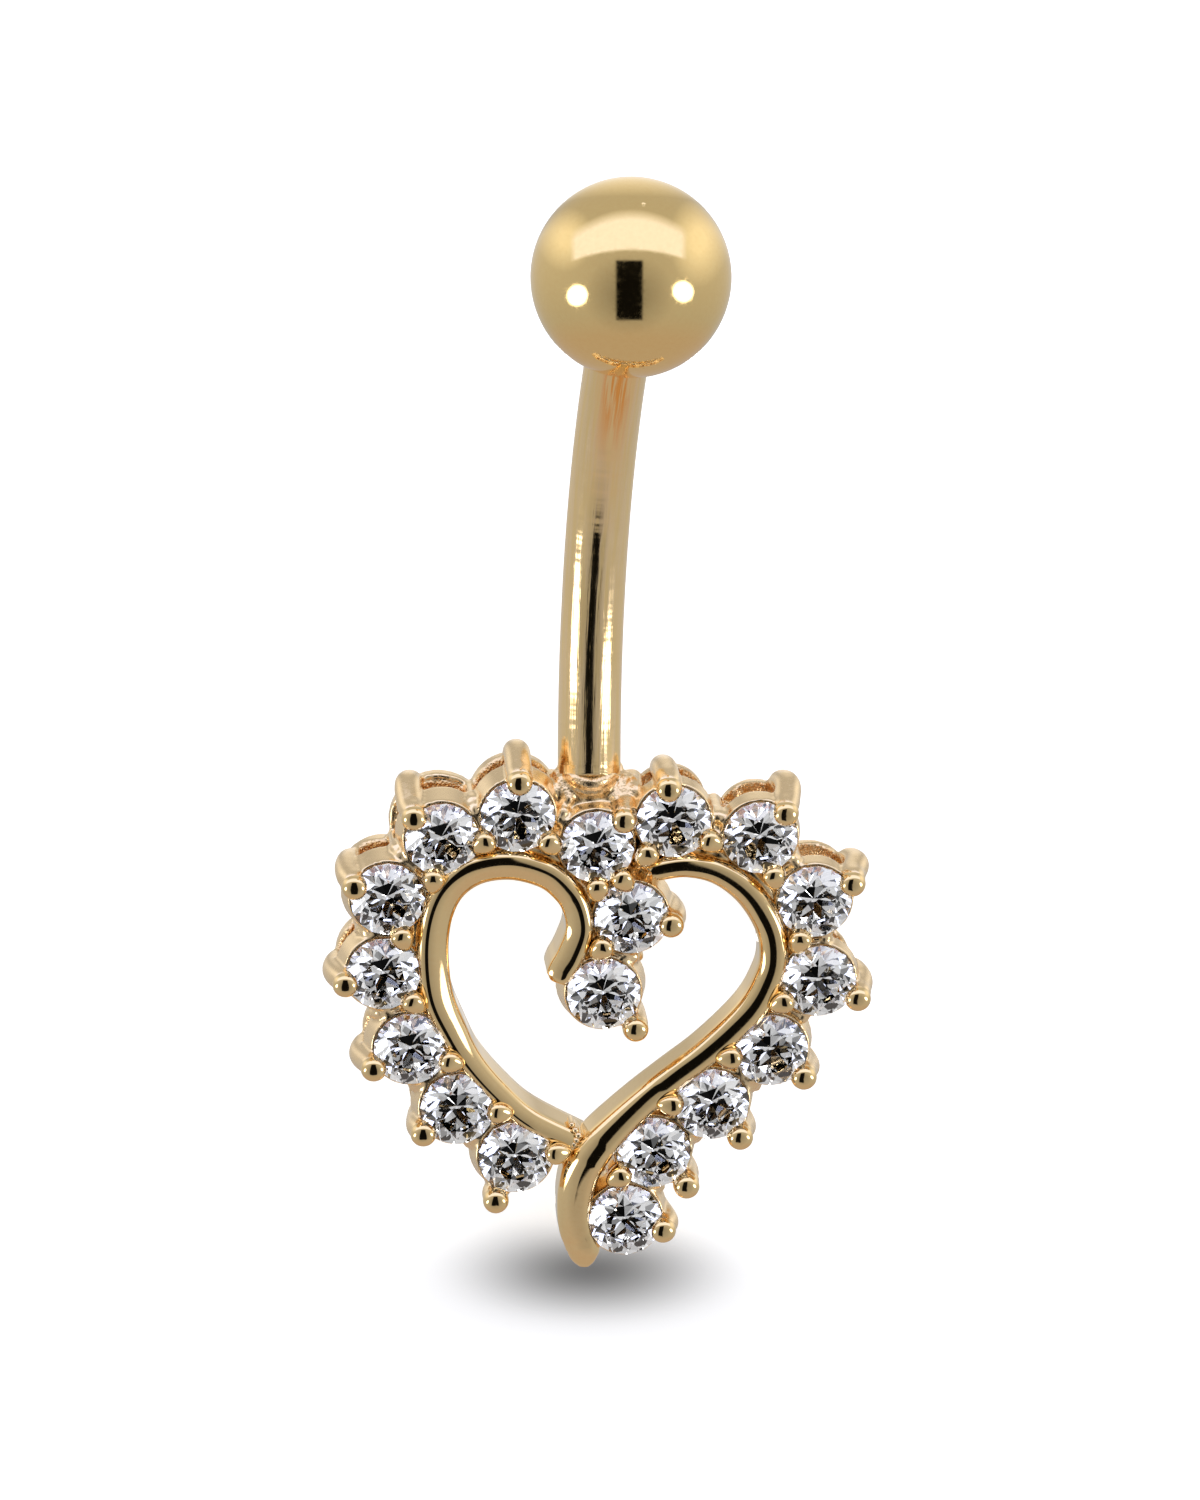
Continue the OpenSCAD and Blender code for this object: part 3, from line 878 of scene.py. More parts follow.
def wire(name, rows, depth, dome):
    """Makes a wire, and gives back its route and the direction across it."""
    is_right = rows is RIGHT_WIRE
    route = smooth_path(rows, 10)
    across = np.gradient(route[:, :2], axis=0)
    across = np.c_[-across[:, 1], across[:, 0]] / np.linalg.norm(across, axis=1)[:, None]
    rings = []
    for k, ((x, y, share), side) in enumerate(zip(route, across)):
        half = share * WIRE_W / 2
        deep = depth * (0.86 + 0.14 * min(1, k / 60))
        turned = np.interp(k / 10, TURN_ROWS, (0, 1)) if is_right else 0
        shape = [a + (b - a) * turned for a, b in zip(dome, TIP_DOME)]
        lift = np.interp(y, LIFT_AT, LIFT) if is_right else np.interp(len(route) - k, DIVE_AT, DIVE)
        # Both free ends are rounded over where they are narrower than this share
        full = 0.95 if not is_right and k < 50 else 1.2 if y < -5.2 else 0
        lift -= TIP_ROUND * WIRE_W * max(0, full - share)
        section = [(u, z + lift * (z > -0.5)) for u, z in wire_section(half, deep, *shape)]
        rings.append([(x * PITCH - side[0] * u, y * PITCH - side[1] * u, z) for u, z in section])
    piece = add_mesh(name, *skin(rings))
    finish_piece(piece, WIRE_GOLD, "setting", "gold", "heart_and_bar")
    return route, across


left_route = wire("left_wire", LEFT_WIRE, LEFT_DEPTH, LEFT_DOME)
right_route = wire("right_wire", RIGHT_WIRE, RIGHT_DEPTH, RIGHT_DOME)

# %% [markdown]
# Solder joins the baskets to the wires. It runs into the narrow valleys between
# the two and freezes with an uneven, rounded surface, so each seam is a rod whose
# thickness wanders a little along its way.
# %% Solder seams
SEAM_Z, SEAM_R = -0.45, 0.19
seam_noise = np.random.default_rng(11)


def seam(route, across, first, last, outward):
    """A wavy rod beside a wire, from one row of its route to another."""
    cut = slice(first * 10, last * 10)
    route, across = route[cut], across[cut]
    steps = np.arange(len(route))
    waves = sum(
        seam_noise.uniform(0.01, 0.03) * np.sin(steps / w + seam_noise.uniform(0, 6))
        for w in (1.3, 2.1, 3.7)
    )
    beside_wire = route[:, 2:3] * WIRE_W / 2 + 0.03
    flat = route[:, :2] * PITCH + outward * across * beside_wire
    path = np.c_[flat, SEAM_Z + waves]
    return round_tube(*round_ends(path, list(SEAM_R + waves)), 20)


seams = [seam(*left_route, 5, 18, -1), seam(*right_route, 2, 14, 1)]
print("points in a seam:", len(seams[0][0]))

# %% [markdown]
# Where the left wire dives below the right one, the solder stands up in a row of
# small drops. Each is a short upright rod with a round top.
# %% Solder drops
# Across, along, height of the top and radius
DROPS = [
    (-0.42, -7.6, -0.1, 0.09),
    (-0.33, -7.72, 0, 0.1),
    (-0.25, -7.85, 0.05, 0.11),
    (-0.3, -7.98, 0.06, 0.1),
    (-0.36, -8.1, 0.05, 0.11),
    (-0.33, -8.22, 0, 0.1),
    (-0.42, -8.32, -0.1, 0.1),
    (-0.5, -8.45, -0.2, 0.09),
]
drops = [
    round_tube(*round_ends([(x, y, -0.6), (x, y, top - r)], [r, r]), 16)
    for x, y, top, r in DROPS
]
solder = add_mesh("solder_seams", *join([*seams, *drops]))
finish_piece(solder, SETTING_GOLD, "setting", "gold", "heart_and_bar")

# %% [markdown]
# ## Baskets
#
# A cast basket is a flared rail under the girdle, a plain rail at the back, and
# webs where it meets its neighbours. The cast parts run into each other with soft
# corners, because molten metal can't fill a knife edge and the wheel rounds the
# rest. So the rails, webs and prong stems are first put together as plain solids,
# and a voxel remesh then melts them into one skin.
#
# Both rails are turned round the stone's middle. The back one wanders a little in
# height, as cast rails do, and the sizes differ from lobe to lobe.
# %% Rails
SEAT_TOP, BACK_LOW = -0.07, -1.9
RIM, RAIL_IN, BACK_IN = 0.05, 0.24, 0.31
# Seat rail: flare and height; back rail: how far it stands out and its height. The
# rows are the centre, the left lobe, the right lobe and the row down to the tip
RAILS = {
    range(1, 4): (0.22, 0.9, 0.06, 0.45),
    range(4, 11): (0.22, 0.76, 0.18, 0.4),
    range(11, 15): (0.13, 0.55, 0.02, 0.3),
    range(15, 19): (0.2, 0.85, 0.08, 0.45),
}
# Two back rails stand out further
BACK_MORE = {5: 0.12, 13: 0.07}
rail_noise = np.random.default_rng(5)


def wavy_lathe(centre, profile, segments=72):
    """A turned skin whose upper edge wanders a little, as a cast rail's does."""
    points, faces = lathe(centre, profile, segments)
    points, m = np.array(points), len(profile)
    turn = np.arange(segments) * 2 * math.pi / segments
    sway = sum(
        rail_noise.uniform(0.01, 0.03) * np.sin(k * turn + rail_noise.uniform(0, 6))
        for k in (3, 5, 8, 11)
    )
    # The first and last corners of the profile are the rail's upper ones
    for corner in (0, m - 1):
        points[corner::m, 2] += sway
    return list(points), faces


def rails(number):
    """The seat rail and the back rail of one basket."""
    at = STONES[number]["at"]
    flare, seat_h, back_out, back_h = next(sizes for row, sizes in RAILS.items() if number in row)
    back_out += BACK_MORE.get(number, 0)
    seat = [
        (STONE_R - 0.06, SEAT_TOP - 0.05),
        (STONE_R + RIM, SEAT_TOP),
        (STONE_R + flare, SEAT_TOP - seat_h),
        (STONE_R - RAIL_IN, SEAT_TOP - seat_h),
        (STONE_R - RAIL_IN, -0.32),
    ]
    back = [
        (STONE_R + back_out, BACK_LOW + back_h),
        (STONE_R + back_out, BACK_LOW),
        (STONE_R - BACK_IN, BACK_LOW),
        (STONE_R - BACK_IN, BACK_LOW + back_h),
    ]
    return [lathe(at, seat), wavy_lathe(at, back)]


print("sizes of rails:", len(RAILS), "rows")

# %% [markdown]
# Where two baskets touch, the valley between them fills with metal and stands out
# as a small fin. Rods side by side, each thinner than the last, melt into one.
# %% Fins between baskets
# Rods of a fin: how far out, the height of the front and the thickness
WEB = [(0, -0.42, 0.24), (0.25, -0.3, 0.2), (0.45, -0.34, 0.17), (0.6, -0.5, 0.15)]


def web(a, b):
    """A fin in the valley between two baskets, smooth and round at its front."""
    middle = (STONES[a]["at"] + STONES[b]["at"]) / 2
    apart = STONES[b]["at"] - STONES[a]["at"]
    side = np.array([-apart[1], apart[0]]) / np.linalg.norm(apart)
    # The fin reaches out of the row on the side of the outer prongs
    side = side * np.sign(side @ polar(1, STONES[a]["outer"]) + side @ polar(1, STONES[b]["outer"]))
    out = []
    # The right lobe's baskets are slimmer, so their fins are shorter
    fin = WEB[:2] if a in range(11, 15) else WEB
    for share, top, r in fin:
        at = middle + side * share
        out.append(rod(np.append(at, BACK_LOW + 0.3), np.append(at, top), r))
    return out


print("webs between neighbours:", len(NEIGHBOURS))

# %% [markdown]
# The outer prongs are fat, bent arms that grow out of the back rail, and each was
# bent a little its own way. The inner ones are short and straight. Their tips come
# later, as clean round shapes of their own.
# %% Stems of the prongs
INNER_R = 0.28
# Splay of an outer prong, in millimetres: left, right and at the last stone
SPLAY_LEFT, SPLAY_RIGHT, SPLAY_LAST = 0.18, 0.27, 0.1
# How far each elbow is bent aside, across and along
ELBOWS = {
    2: (-0.08, 0),
    4: (0, 0.17),
    5: (0.03, 0.31),
    6: (0.1, 0.05),
    8: (-0.1, 0),
    9: (0.1, 0),
    10: (0.22, 0.05),
    11: (0, -0.18),
    12: (-0.07, 0.1),
    13: (0.06, 0),
    14: (-0.055, 0.16),
    16: (0.05, 0),
    18: (-0.17, 0.12),
}


def claw_stem(number):
    """The fat, bent arm of an outer prong, from its foot to its tip."""
    s = STONES[number]
    splay = SPLAY_LEFT if number < 11 else SPLAY_RIGHT if number < 18 else SPLAY_LAST
    # How far out, the height and the thickness
    rows = [
        (splay - 0.24, -1.6, 0.28),
        (splay - 0.1, -1.5, 0.33),
        (splay, -1.25, 0.345),
        (splay + 0.05, -0.85, 0.345),
        (0.15 + 0.04 * s["reach"], -0.4, 0.34),
        (0.04 + 0.1 * s["reach"], -0.08, 0.32),
    ]
    line = smooth_path(rows, 5)
    path = [beside(number, s["outer"], out, z) for out, z, _ in line]
    bend = np.array([*ELBOWS.get(number, (0, 0)), 0])
    path = [q + bend * np.interp(-q[2], (0.3, 1), (0, 1)) for q in path]
    return round_tube(*round_ends(path, list(line[:, 2])), 24)


def inner_stem(number, degrees):
    low, high = beside(number, degrees, 0.2, -1.6), beside(number, degrees, 0.16, -0.2)
    return rod(low, high, INNER_R - 0.03)


INNER_PRONGS = [(n, s["inner"]) for n, s in STONES.items()] + EXTRA_PRONGS
print("outer prongs:", len(STONES), "inner prongs:", len(INNER_PRONGS))

# %% [markdown]
# A cast plate bridges the first stone and its two neighbours, and the bar's foot
# is soldered to it. The solder wraps the front of the foot in folds, runs down in
# ridges beside the neighbours' stones and creeps up the sides and back of the bar.
# %% Bridge and solder
PLATE_END = 0.95
PLATE_RODS = 8
# Height on the bar, half width, depth and thickness; the upper fold is the thickest
FOLDS = [(1.62, 0.56, 0.52, 0.17), (1.38, 0.6, 0.44, 0.14), (1.18, 0.5, 0.38, 0.11)]
FOLD_X, FOLD_Z = -0.15, -0.92
FOLD_POINTS = 14
RIDGE_R = 0.13
RIDGES = [((-0.92, 1.55, -0.8), (-0.7, 1.12, -0.48)), ((0.72, 1.55, -0.8), (0.5, 1.15, -0.5))]
# Top and radius of each drop that creeps up the bar
CREEPS = [
    (-0.92, 1.55, -1.1, 0.2),
    (-0.8, 1.75, -1.2, 0.17),
    (-0.74, 1.95, -1.3, 0.13),
    (0.62, 1.5, -1.1, 0.22),
    (0.8, 1.42, -1.0, 0.26),
    (0.56, 1.72, -1.2, 0.17),
    (0.52, 1.92, -1.3, 0.13),
    (-0.4, 1.6, -1.55, 0.24),
    (0.1, 1.6, -1.55, 0.24),
]


def fold(y, wide, deep, r):
    """A rod of solder that wraps the front of the bar's foot."""
    angles = np.linspace(0.04, 0.96, FOLD_POINTS) * math.pi
    line = [
        (FOLD_X + wide * math.cos(a), y + 0.05 * math.sin(3 * a), FOLD_Z + deep * math.sin(a))
        for a in angles
    ]
    return round_tube(*round_ends(line, [r] * FOLD_POINTS), 20)


def bridge_solids():
    """The cast plate behind the first stone, with the solder round the bar's foot."""
    left, right = STONES[4]["at"][0] + PLATE_END, STONES[11]["at"][0] - PLATE_END
    out = []
    for x in np.linspace(left, right, PLATE_RODS):
        out.append(rod((x, STONE_R + 0.3, -1.6), (x, STONE_R + 0.24, -0.78), 0.3))
        out.append(rod((x, STONE_R + 0.16, -1.2), (x * 0.92, STONE_R + 0.02, -0.74), 0.24))
    out += [fold(*sizes) for sizes in FOLDS]
    out += [rod(start, stop, RIDGE_R) for start, stop in RIDGES]
    out += [rod((x, y - 0.25, z - 0.3), (x, y, z), r) for x, y, z, r in CREEPS]
    return out


print("solids of the bridge:", len(bridge_solids()))

# %% [markdown]
# The remesh works on a fine grid of cells, and a light smoothing afterward takes
# the grid's steps away, as tumbling with small stones does for the real casting.
# Where the wheel can't reach, each point gets a number for the cast skin and the
# slots' painted shade: inside the slots between the two rails, and faintly on the bridge.
# %% Melt into one skin
VOXEL = 0.05
SLOT_MIDDLE, SLOT_HALF = -1.12, 0.52
BRIDGE_CAST = 0.14


def cast(name, parts):
    """Melts overlapping solids into one soft skin."""
    piece = add_mesh(name, *join(parts))
    melt = piece.modifiers.new("melt", "REMESH")
    melt.mode = "VOXEL"
    melt.voxel_size = VOXEL * MM
    melt.use_smooth_shade = True
    tumble = piece.modifiers.new("tumble", "SMOOTH")
    tumble.factor = 0.5
    tumble.iterations = 6
    bpy.context.view_layer.update()
    dg = bpy.context.evaluated_depsgraph_get()
    baked = bpy.data.meshes.new_from_object(piece.evaluated_get(dg))
    piece.modifiers.clear()
    piece.data = baked
    baked.shade_smooth()
    return piece


def mark_cast_skin_and_shade(piece):
    """Writes how far each point is from the wheel's reach, for the cast skin and the painted shade:
    the slots and the bridge.
    """
    inverse = np.linalg.inv(np.array(HEART))
    co = np.empty(len(piece.data.vertices) * 3)
    piece.data.vertices.foreach_get("co", co)
    p = co.reshape(-1, 3) @ inverse[:3, :3].T + inverse[:3, 3]
    centres = np.array([s["at"] for s in STONES.values()])
    near = np.min(np.linalg.norm(p[:, None, :2] - centres[None], axis=2), axis=1)
    slot_z = np.clip(1 - np.abs(p[:, 2] - SLOT_MIDDLE) / SLOT_HALF, 0, 1) ** 0.5
    inside = np.clip((STONE_R + 0.16 - near) / 0.1, 0, 1)
    mask = np.clip(slot_z * inside * 1.4, 0, 1)
    plate = np.clip((1.15 - np.abs(p[:, 0] + 0.05)) / 0.15, 0, 1)
    plate *= np.clip((p[:, 1] - 0.93) / 0.1, 0, 1)
    plate *= np.clip((2.1 - p[:, 1]) / 0.2, 0, 1) * np.clip((near - STONE_R - 0.12) / 0.1, 0, 1)
    add_field(piece, "cast_and_shade", np.maximum(mask, BRIDGE_CAST * plate))


print("the grid's cells are", VOXEL, "mm wide")

# %% Cast baskets
GROUPS = {
    "left_baskets": range(4, 11),
    "centre_baskets": range(1, 4),
    "right_baskets": range(11, 15),
    "lower_baskets": range(15, 19),
}
for name, numbers in GROUPS.items():
    parts = []
    for n in numbers:
        parts += rails(n)
        parts.append(claw_stem(n))
    for a, b in NEIGHBOURS:
        if a in numbers:
            parts += web(a, b)
    parts += [inner_stem(n, d) for n, d in INNER_PRONGS if n in numbers]
    if 1 in numbers:
        parts += bridge_solids()
    piece = cast(name, parts)
    mark_cast_skin_and_shade(piece)
    finish_piece(piece, SETTING_GOLD, "setting", "gold", "heart_and_bar")

# %% [markdown]
# ## Prong tips
#
# The setter bends each prong over the stone and rounds its tip with a cup burr,
# which leaves a small bright ball with a crease behind it. The tips stay apart
# from the cast skin, as clean round shapes, so that their small reflections are
# as sharp as on the real ring.
# %% A bead
BEAD_POWER = 2.7


def bead(centre, sizes, outward, tip_down=0.0, taper=0.0, rings=22, sides=36):
    """A button with a round outline and a flattened front, tipped down at its outer end."""
    a = math.radians(outward)
    level = math.cos(tip_down)
    along = Vector((math.cos(a) * level, math.sin(a) * level, -math.sin(tip_down)))
    across = Vector((-math.sin(a), math.cos(a), 0))
    front = along.cross(across)
    out = []
    for k in range(rings + 1):
        v = math.pi * k / rings
        # A power above two pushes the profile outward, which flattens the front
        wide = max(math.sin(v) ** (2 / BEAD_POWER), 0.01)
        high = math.copysign(abs(math.cos(v)) ** (2 / BEAD_POWER), math.cos(v))
        ring = []
        for j in range(sides):
            u = 2 * math.pi * j / sides
            narrow = 1 - taper * math.cos(u)
            p = along * (sizes[0] * wide * math.cos(u))
            p += across * (sizes[1] * wide * narrow * math.sin(u))
            ring.append(np.array(centre) + np.array(p + front * (sizes[2] * high)))
        out.append(ring)
    return skin(out)


print("a bead has", len(bead((0, 0, 0), (1, 1, 1), 0)[0]), "points")

# %% [markdown]
# The outer tips are round buttons. The inner ones are longer and narrow toward the
# stone, and where a wire lies over them they end low, as small balls.
# %% Prong tips
PRONG_R = 0.345
TIP_UP = 0.37
# The cup burr was held from the ball's side, which pushed the tips down
TIP_SAG = 0.08
# The inner prongs of these stones end low, below a wire
TUCKED_UNDER_WIRE = (3, 18)
tips = []
for n, s in STONES.items():
    middle = beside(n, s["outer"], 0.1 * s["reach"], TIP_UP - PRONG_R) - np.array([0, TIP_SAG, 0])
    tips.append(bead(middle, (0.34, 0.335, PRONG_R - 0.01), s["outer"], 0.1))
for n, d in INNER_PRONGS:
    if n in TUCKED_UNDER_WIRE:
        tips.append(bead(beside(n, d, 0.06, -0.42), (0.2, 0.2, 0.2), d))
        continue
    tips.append(bead(beside(n, d, 0.14, TIP_UP - INNER_R), (0.36, 0.29, INNER_R), d, 0.35, 0.22))
prong_tips = add_mesh("prong_tips", *join(tips))
finish_piece(prong_tips, WIRE_GOLD, "setting", "gold", "heart_and_bar")

# %% [markdown]
# ## Stones
#
# The stones are round brilliants: a table, eight stars, eight kites and sixteen
# upper halves on the crown, sixteen lower halves and eight mains below. Facets
# must be dead flat, so the mesh has just their corners and flat shading. A cutter
# sets out a stone by heights and widths in shares of its diameter, and the heights
# of the inner corners follow from the planes of the facets round them.
# %% Corners of a brilliant
GIRDLE_T = 0.06
TABLE_R = STONE_R * 0.57
TABLE_Z = GIRDLE_T / 2 + STONE_D * 0.15
CULET_Z = -GIRDLE_T / 2 - STONE_D * 0.455
STAR_R = (TABLE_R + STONE_R) / 2
# Eight corners stand on a circle, and the sides between them lie this much nearer
SIDE_IN = math.cos(math.pi / 8)
CROWN_SLOPE = (TABLE_Z - GIRDLE_T / 2) / (STONE_R - TABLE_R)
STAR_Z = TABLE_Z - (STAR_R * SIDE_IN - TABLE_R) * CROWN_SLOPE
LOWER_R = STONE_R * 0.42
LOWER_Z = CULET_Z + LOWER_R * SIDE_IN * (-GIRDLE_T / 2 - CULET_Z) / STONE_R


def brilliant(number, turn_by):
    """Corners and facets of one stone, in its place and at its turn."""
    at = STONES[number]["at"]

    def ring(r, z, n, first):
        return [np.append(at + polar(r, first + turn_by + 360 * k / n), z) for k in range(n)]

    points = ring(TABLE_R, TABLE_Z, 8, 0) + ring(STAR_R, STAR_Z, 8, 22.5)
    points += ring(STONE_R, GIRDLE_T / 2, 16, 0) + ring(STONE_R, -GIRDLE_T / 2, 16, 0)
    points += ring(LOWER_R, LOWER_Z, 8, 22.5) + [np.append(at, CULET_Z)]
    star, upper, under, lower, culet = 8, 16, 32, 48, 56
    faces = [tuple(range(8))]
    for k in range(8):
        n = (k + 1) % 8
        b = (k + 7) % 8
        faces += [
            (k, star + k, n),
            (k, star + b, upper + 2 * k, star + k),
            (star + k, upper + 2 * k, upper + 2 * k + 1),
            (star + k, upper + 2 * k + 1, upper + (2 * k + 2) % 16),
            (under + 2 * k, lower + k, under + 2 * k + 1),
            (under + 2 * k + 1, lower + k, under + (2 * k + 2) % 16),
            (culet, lower + k, under + 2 * k, lower + b),
        ]
    faces += [(upper + j, under + j, under + (j + 1) % 16, upper + (j + 1) % 16) for j in range(16)]
    return points, faces


print("a stone has", len(brilliant(1, 0)[1]), "facets, with its girdle's")

# %% [markdown]
# The clear stone is a smooth refracting solid with a high index, so it gathers its
# light from all round and the facets sparkle. A cloud too faint to see by itself
# makes some stones a little cooler than others.
# %% Clear stone
CLEAR_COOL = (0.95, 0.96, 0.985, 1)
CLEAR_WARM = (0.99, 0.985, 0.98, 1)


def clouds(tree, scale):
    """A plain noise over the object, as a coordinate and a mask."""
    where = node(tree, "ShaderNodeTexCoord").outputs["Object"]
    cloud = node(tree, "ShaderNodeTexNoise")
    cloud.inputs["Scale"].default_value = scale
    tree.links.new(where, cloud.inputs["Vector"])
    return where, cloud.outputs["Fac"]


def stone_material():
    mat, tree, shader = principled("clear_stone", 0)
    shader["Roughness"].default_value = 0
    shader["IOR"].default_value = 2.15
    shader["Transmission Weight"].default_value = 1
    _, cloud = clouds(tree, 400)
    share, tint = blend_colours(tree, CLEAR_COOL, CLEAR_WARM)
    join_up(tree, (cloud, share), (tint, shader["Base Color"]))
    return mat


STONE = stone_material()
print("stone:", STONE.name)

# %% [markdown]
# Each stone sits at a turn of its own, as a setter drops it in.
# %% Set the stones
turns = np.random.default_rng(7).uniform(0, 45, len(STONES) + 1)
for n in STONES:
    stone = add_mesh(f"brilliant_{n:02d}", *brilliant(n, turns[n]), smooth=False)
    finish_piece(stone, STONE, "setting", "stone", f"stone_{n:02d}")
print("stones cut:", len(STONES), "with", count(stone), "triangles each")

# %% [markdown]
# ## The studio
#
# Polished gold shows nothing but what stands round it, so the light is built as
# a small tent: a broad soft box overhead with a paler panel at each side, calm
# walls, a darker roof, a dark slot where the camera looks in and two round lamps
# beside it. It is all far away, so it is painted on the world by direction. The
# painter's grid is the picture that a mirror ball gives: across and up run from
# -1 to 1 over such a ball as the camera sees it.
# %% Helpers for directions
def calc(tree, operation, a, b=None, c=None):
    """One math node on sockets or plain numbers."""
    made = node(tree, "ShaderNodeMath", operation=operation)
    for socket, value in zip(made.inputs, (a, b, c)):
        if value is None:
            continue
        if isinstance(value, (int, float)):
            socket.default_value = value
        else:
            tree.links.new(value, socket)
    return made.outputs[0]


def times(tree, a, b):
    return calc(tree, "MULTIPLY", a, b)


def turn_into(tree, base, goal, share):
    """One value where the share is 0, and the other where it is 1."""
    return calc(tree, "MULTIPLY_ADD", calc(tree, "SUBTRACT", goal, base), share, base)


def toward(tree, seen, axis):
    """How far the seen direction points along an axis."""
    dot = node(tree, "ShaderNodeVectorMath", operation="DOT_PRODUCT")
    tree.links.new(seen, dot.inputs[0])
    dot.inputs[1].default_value = axis
    return dot.outputs["Value"]


def band(tree, value, low, high, soft):
    """1 between low and high, with soft ends."""
    rise = ramp(tree, value, low - soft, low + soft, 0, 1)
    fall = ramp(tree, value, high - soft, high + soft, 1, 0)
    return times(tree, rise, fall)


def from_spot(tree, across, up, middle, size):
    """The distance from a spot on the mirror ball, in shares of the spot's own size."""
    x = calc(tree, "DIVIDE", calc(tree, "SUBTRACT", across, middle[0]), size[0])
    y = calc(tree, "DIVIDE", calc(tree, "SUBTRACT", up, middle[1]), size[1])
    return calc(tree, "SQRT", calc(tree, "MULTIPLY_ADD", x, x, times(tree, y, y)))


def mirror_grid(tree):
    """Across and up on the mirror ball, and how far the direction points backward."""
    seen = node(tree, "ShaderNodeTexCoord").outputs["Generated"]
    right, high, back = (toward(tree, seen, axis) for axis in camera_axes)
    # Straight behind the ball the spread would fall to zero
    behind = calc(tree, "MAXIMUM", back, -0.99)
    spread = calc(tree, "SQRT", calc(tree, "MULTIPLY_ADD", behind, 2, 2))
    return calc(tree, "DIVIDE", right, spread), calc(tree, "DIVIDE", high, spread), back


print("a mirror ball's grid from three directions:", len(camera_axes))

# %% [markdown]
# The tent's cloth hangs round the ring. It is a little brighter high up at the
# sides and dimmer round the slot. The roof is a closed panel, and behind it the
# cloth is thin and lets the room's light in.
# %% Walls and roof
WALL_LOW, WALL_HIGH = 0.48, 0.62
ROOF = 0.52
REAR_LIGHT = 0.46
# Middle and half sizes of the dim part round the slot, and the light left there
DIM_AT, DIM_SIZE, DIM = (-0.02, -0.2), (0.42, 0.36), 0.62


def tent_cloth(tree, across, up):
    """How bright the walls and the roof are."""
    side = ramp(tree, calc(tree, "ABSOLUTE", across), 0.3, 0.75, 0, 1)
    rise = ramp(tree, up, -0.4, 0.35, 0, WALL_HIGH - WALL_LOW)
    at_side = calc(tree, "MULTIPLY_ADD", side, 0.8, 0.2)
    wall = calc(tree, "MULTIPLY_ADD", rise, at_side, WALL_LOW)
    near_slot = from_spot(tree, across, up, DIM_AT, DIM_SIZE)
    wall = times(tree, wall, ramp(tree, near_slot, 0.35, 1.1, DIM, 1))
    cloth = turn_into(tree, wall, ROOF, ramp(tree, up, 0.5, 0.65, 0, 1))
    return calc(tree, "ADD", cloth, ramp(tree, up, 0.78, 0.97, 0, REAR_LIGHT))


print("walls from", WALL_LOW, "to", WALL_HIGH, "and roof", ROOF)

# %% [markdown]
# A long soft box hangs over the ring. A ball shows its straight edges bent down at
# both ends, so the mask is made with bent edges. A paler panel stands at each side
# of it, and two round lamps stand beside the camera.
# %% Soft box, panels and lamps
SOFT_BOX = 1.15
BOX_LEFT, BOX_RIGHT, BOX_LOW, BOX_TOP = -0.57, 0.52, 0.24, 0.6
BEND_LOW, BEND_TOP = 0.27, 0.6
# Middle, half sizes and light of each panel
SIDE_PANELS = [((-0.63, 0.38), (0.25, 0.32), 0.42), ((0.65, 0.36), (0.27, 0.45), 0.46)]
LAMP, LAMP_SIZE = 4.0, 0.1
LAMPS = [(-0.536, -0.194), (0.516, -0.158)]


def soft_box(tree, across, up):
    """A mask of the soft box."""
    bent = times(tree, across, across)
    low = calc(tree, "MULTIPLY_ADD", bent, BEND_LOW, up)
    top = calc(tree, "MULTIPLY_ADD", bent, BEND_TOP, up)
    low_edge = ramp(tree, low, BOX_LOW - 0.015, BOX_LOW + 0.015, 0, 1)
    top_edge = ramp(tree, top, BOX_TOP - 0.06, BOX_TOP + 0.05, 1, 0)
    ends = band(tree, across, BOX_LEFT, BOX_RIGHT, 0.03)
    return times(tree, times(tree, low_edge, top_edge), ends)


def add_lights(tree, across, up, bright, box):
    """Adds the panels, the soft box and the lamps to the cloth."""
    for middle, size, light in SIDE_PANELS:
        panel = ramp(tree, from_spot(tree, across, up, middle, size), 0.25, 1.05, light, 0)
        bright = calc(tree, "ADD", bright, panel)
    bright = turn_into(tree, bright, SOFT_BOX, box)
    for middle in LAMPS:
        away = from_spot(tree, across, up, middle, (LAMP_SIZE, LAMP_SIZE))
        bright = calc(tree, "MULTIPLY_ADD", ramp(tree, away, 0.85, 1.15, 1, 0), LAMP, bright)
    return bright


print("soft box", SOFT_BOX, "and", len(LAMPS), "lamps of", LAMP)

# %% [markdown]
# The camera looks in through a slot in the cloth, which polished metal shows as a
# dark bar. The stones gather more light from the sides and less from round the
# camera, so the rays that come through them get a share of their own.
# %% Slot, and light for the stones
SLOT_LEFT, SLOT_RIGHT, SLOT_LOW, SLOT_TOP = -0.15, 0.115, -0.45, 0.135
SLOT_EDGE, SLOT_DARK = 0.012, 0.985
STONE_GAIN, STONE_DARK = 1.8, 0.92


def share_of_light(tree, across, up, back):
    """Next to nothing in the slot, and a share of their own for the stones' rays."""
    slot_across = band(tree, across, SLOT_LEFT, SLOT_RIGHT, SLOT_EDGE)
    slot_up = band(tree, up, SLOT_LOW, SLOT_TOP, SLOT_EDGE)
    lit = calc(tree, "MULTIPLY_ADD", times(tree, slot_across, slot_up), -SLOT_DARK, 1)
    through = node(tree, "ShaderNodeLightPath").outputs["Is Transmission Ray"]
    gain = calc(tree, "MULTIPLY_ADD", through, STONE_GAIN - 1, 1)
    round_camera = times(tree, ramp(tree, back, 0.87, 0.94, 0, STONE_DARK), through)
    return times(tree, times(tree, lit, gain), calc(tree, "SUBTRACT", 1, round_camera))


print("stones' gain:", STONE_GAIN)

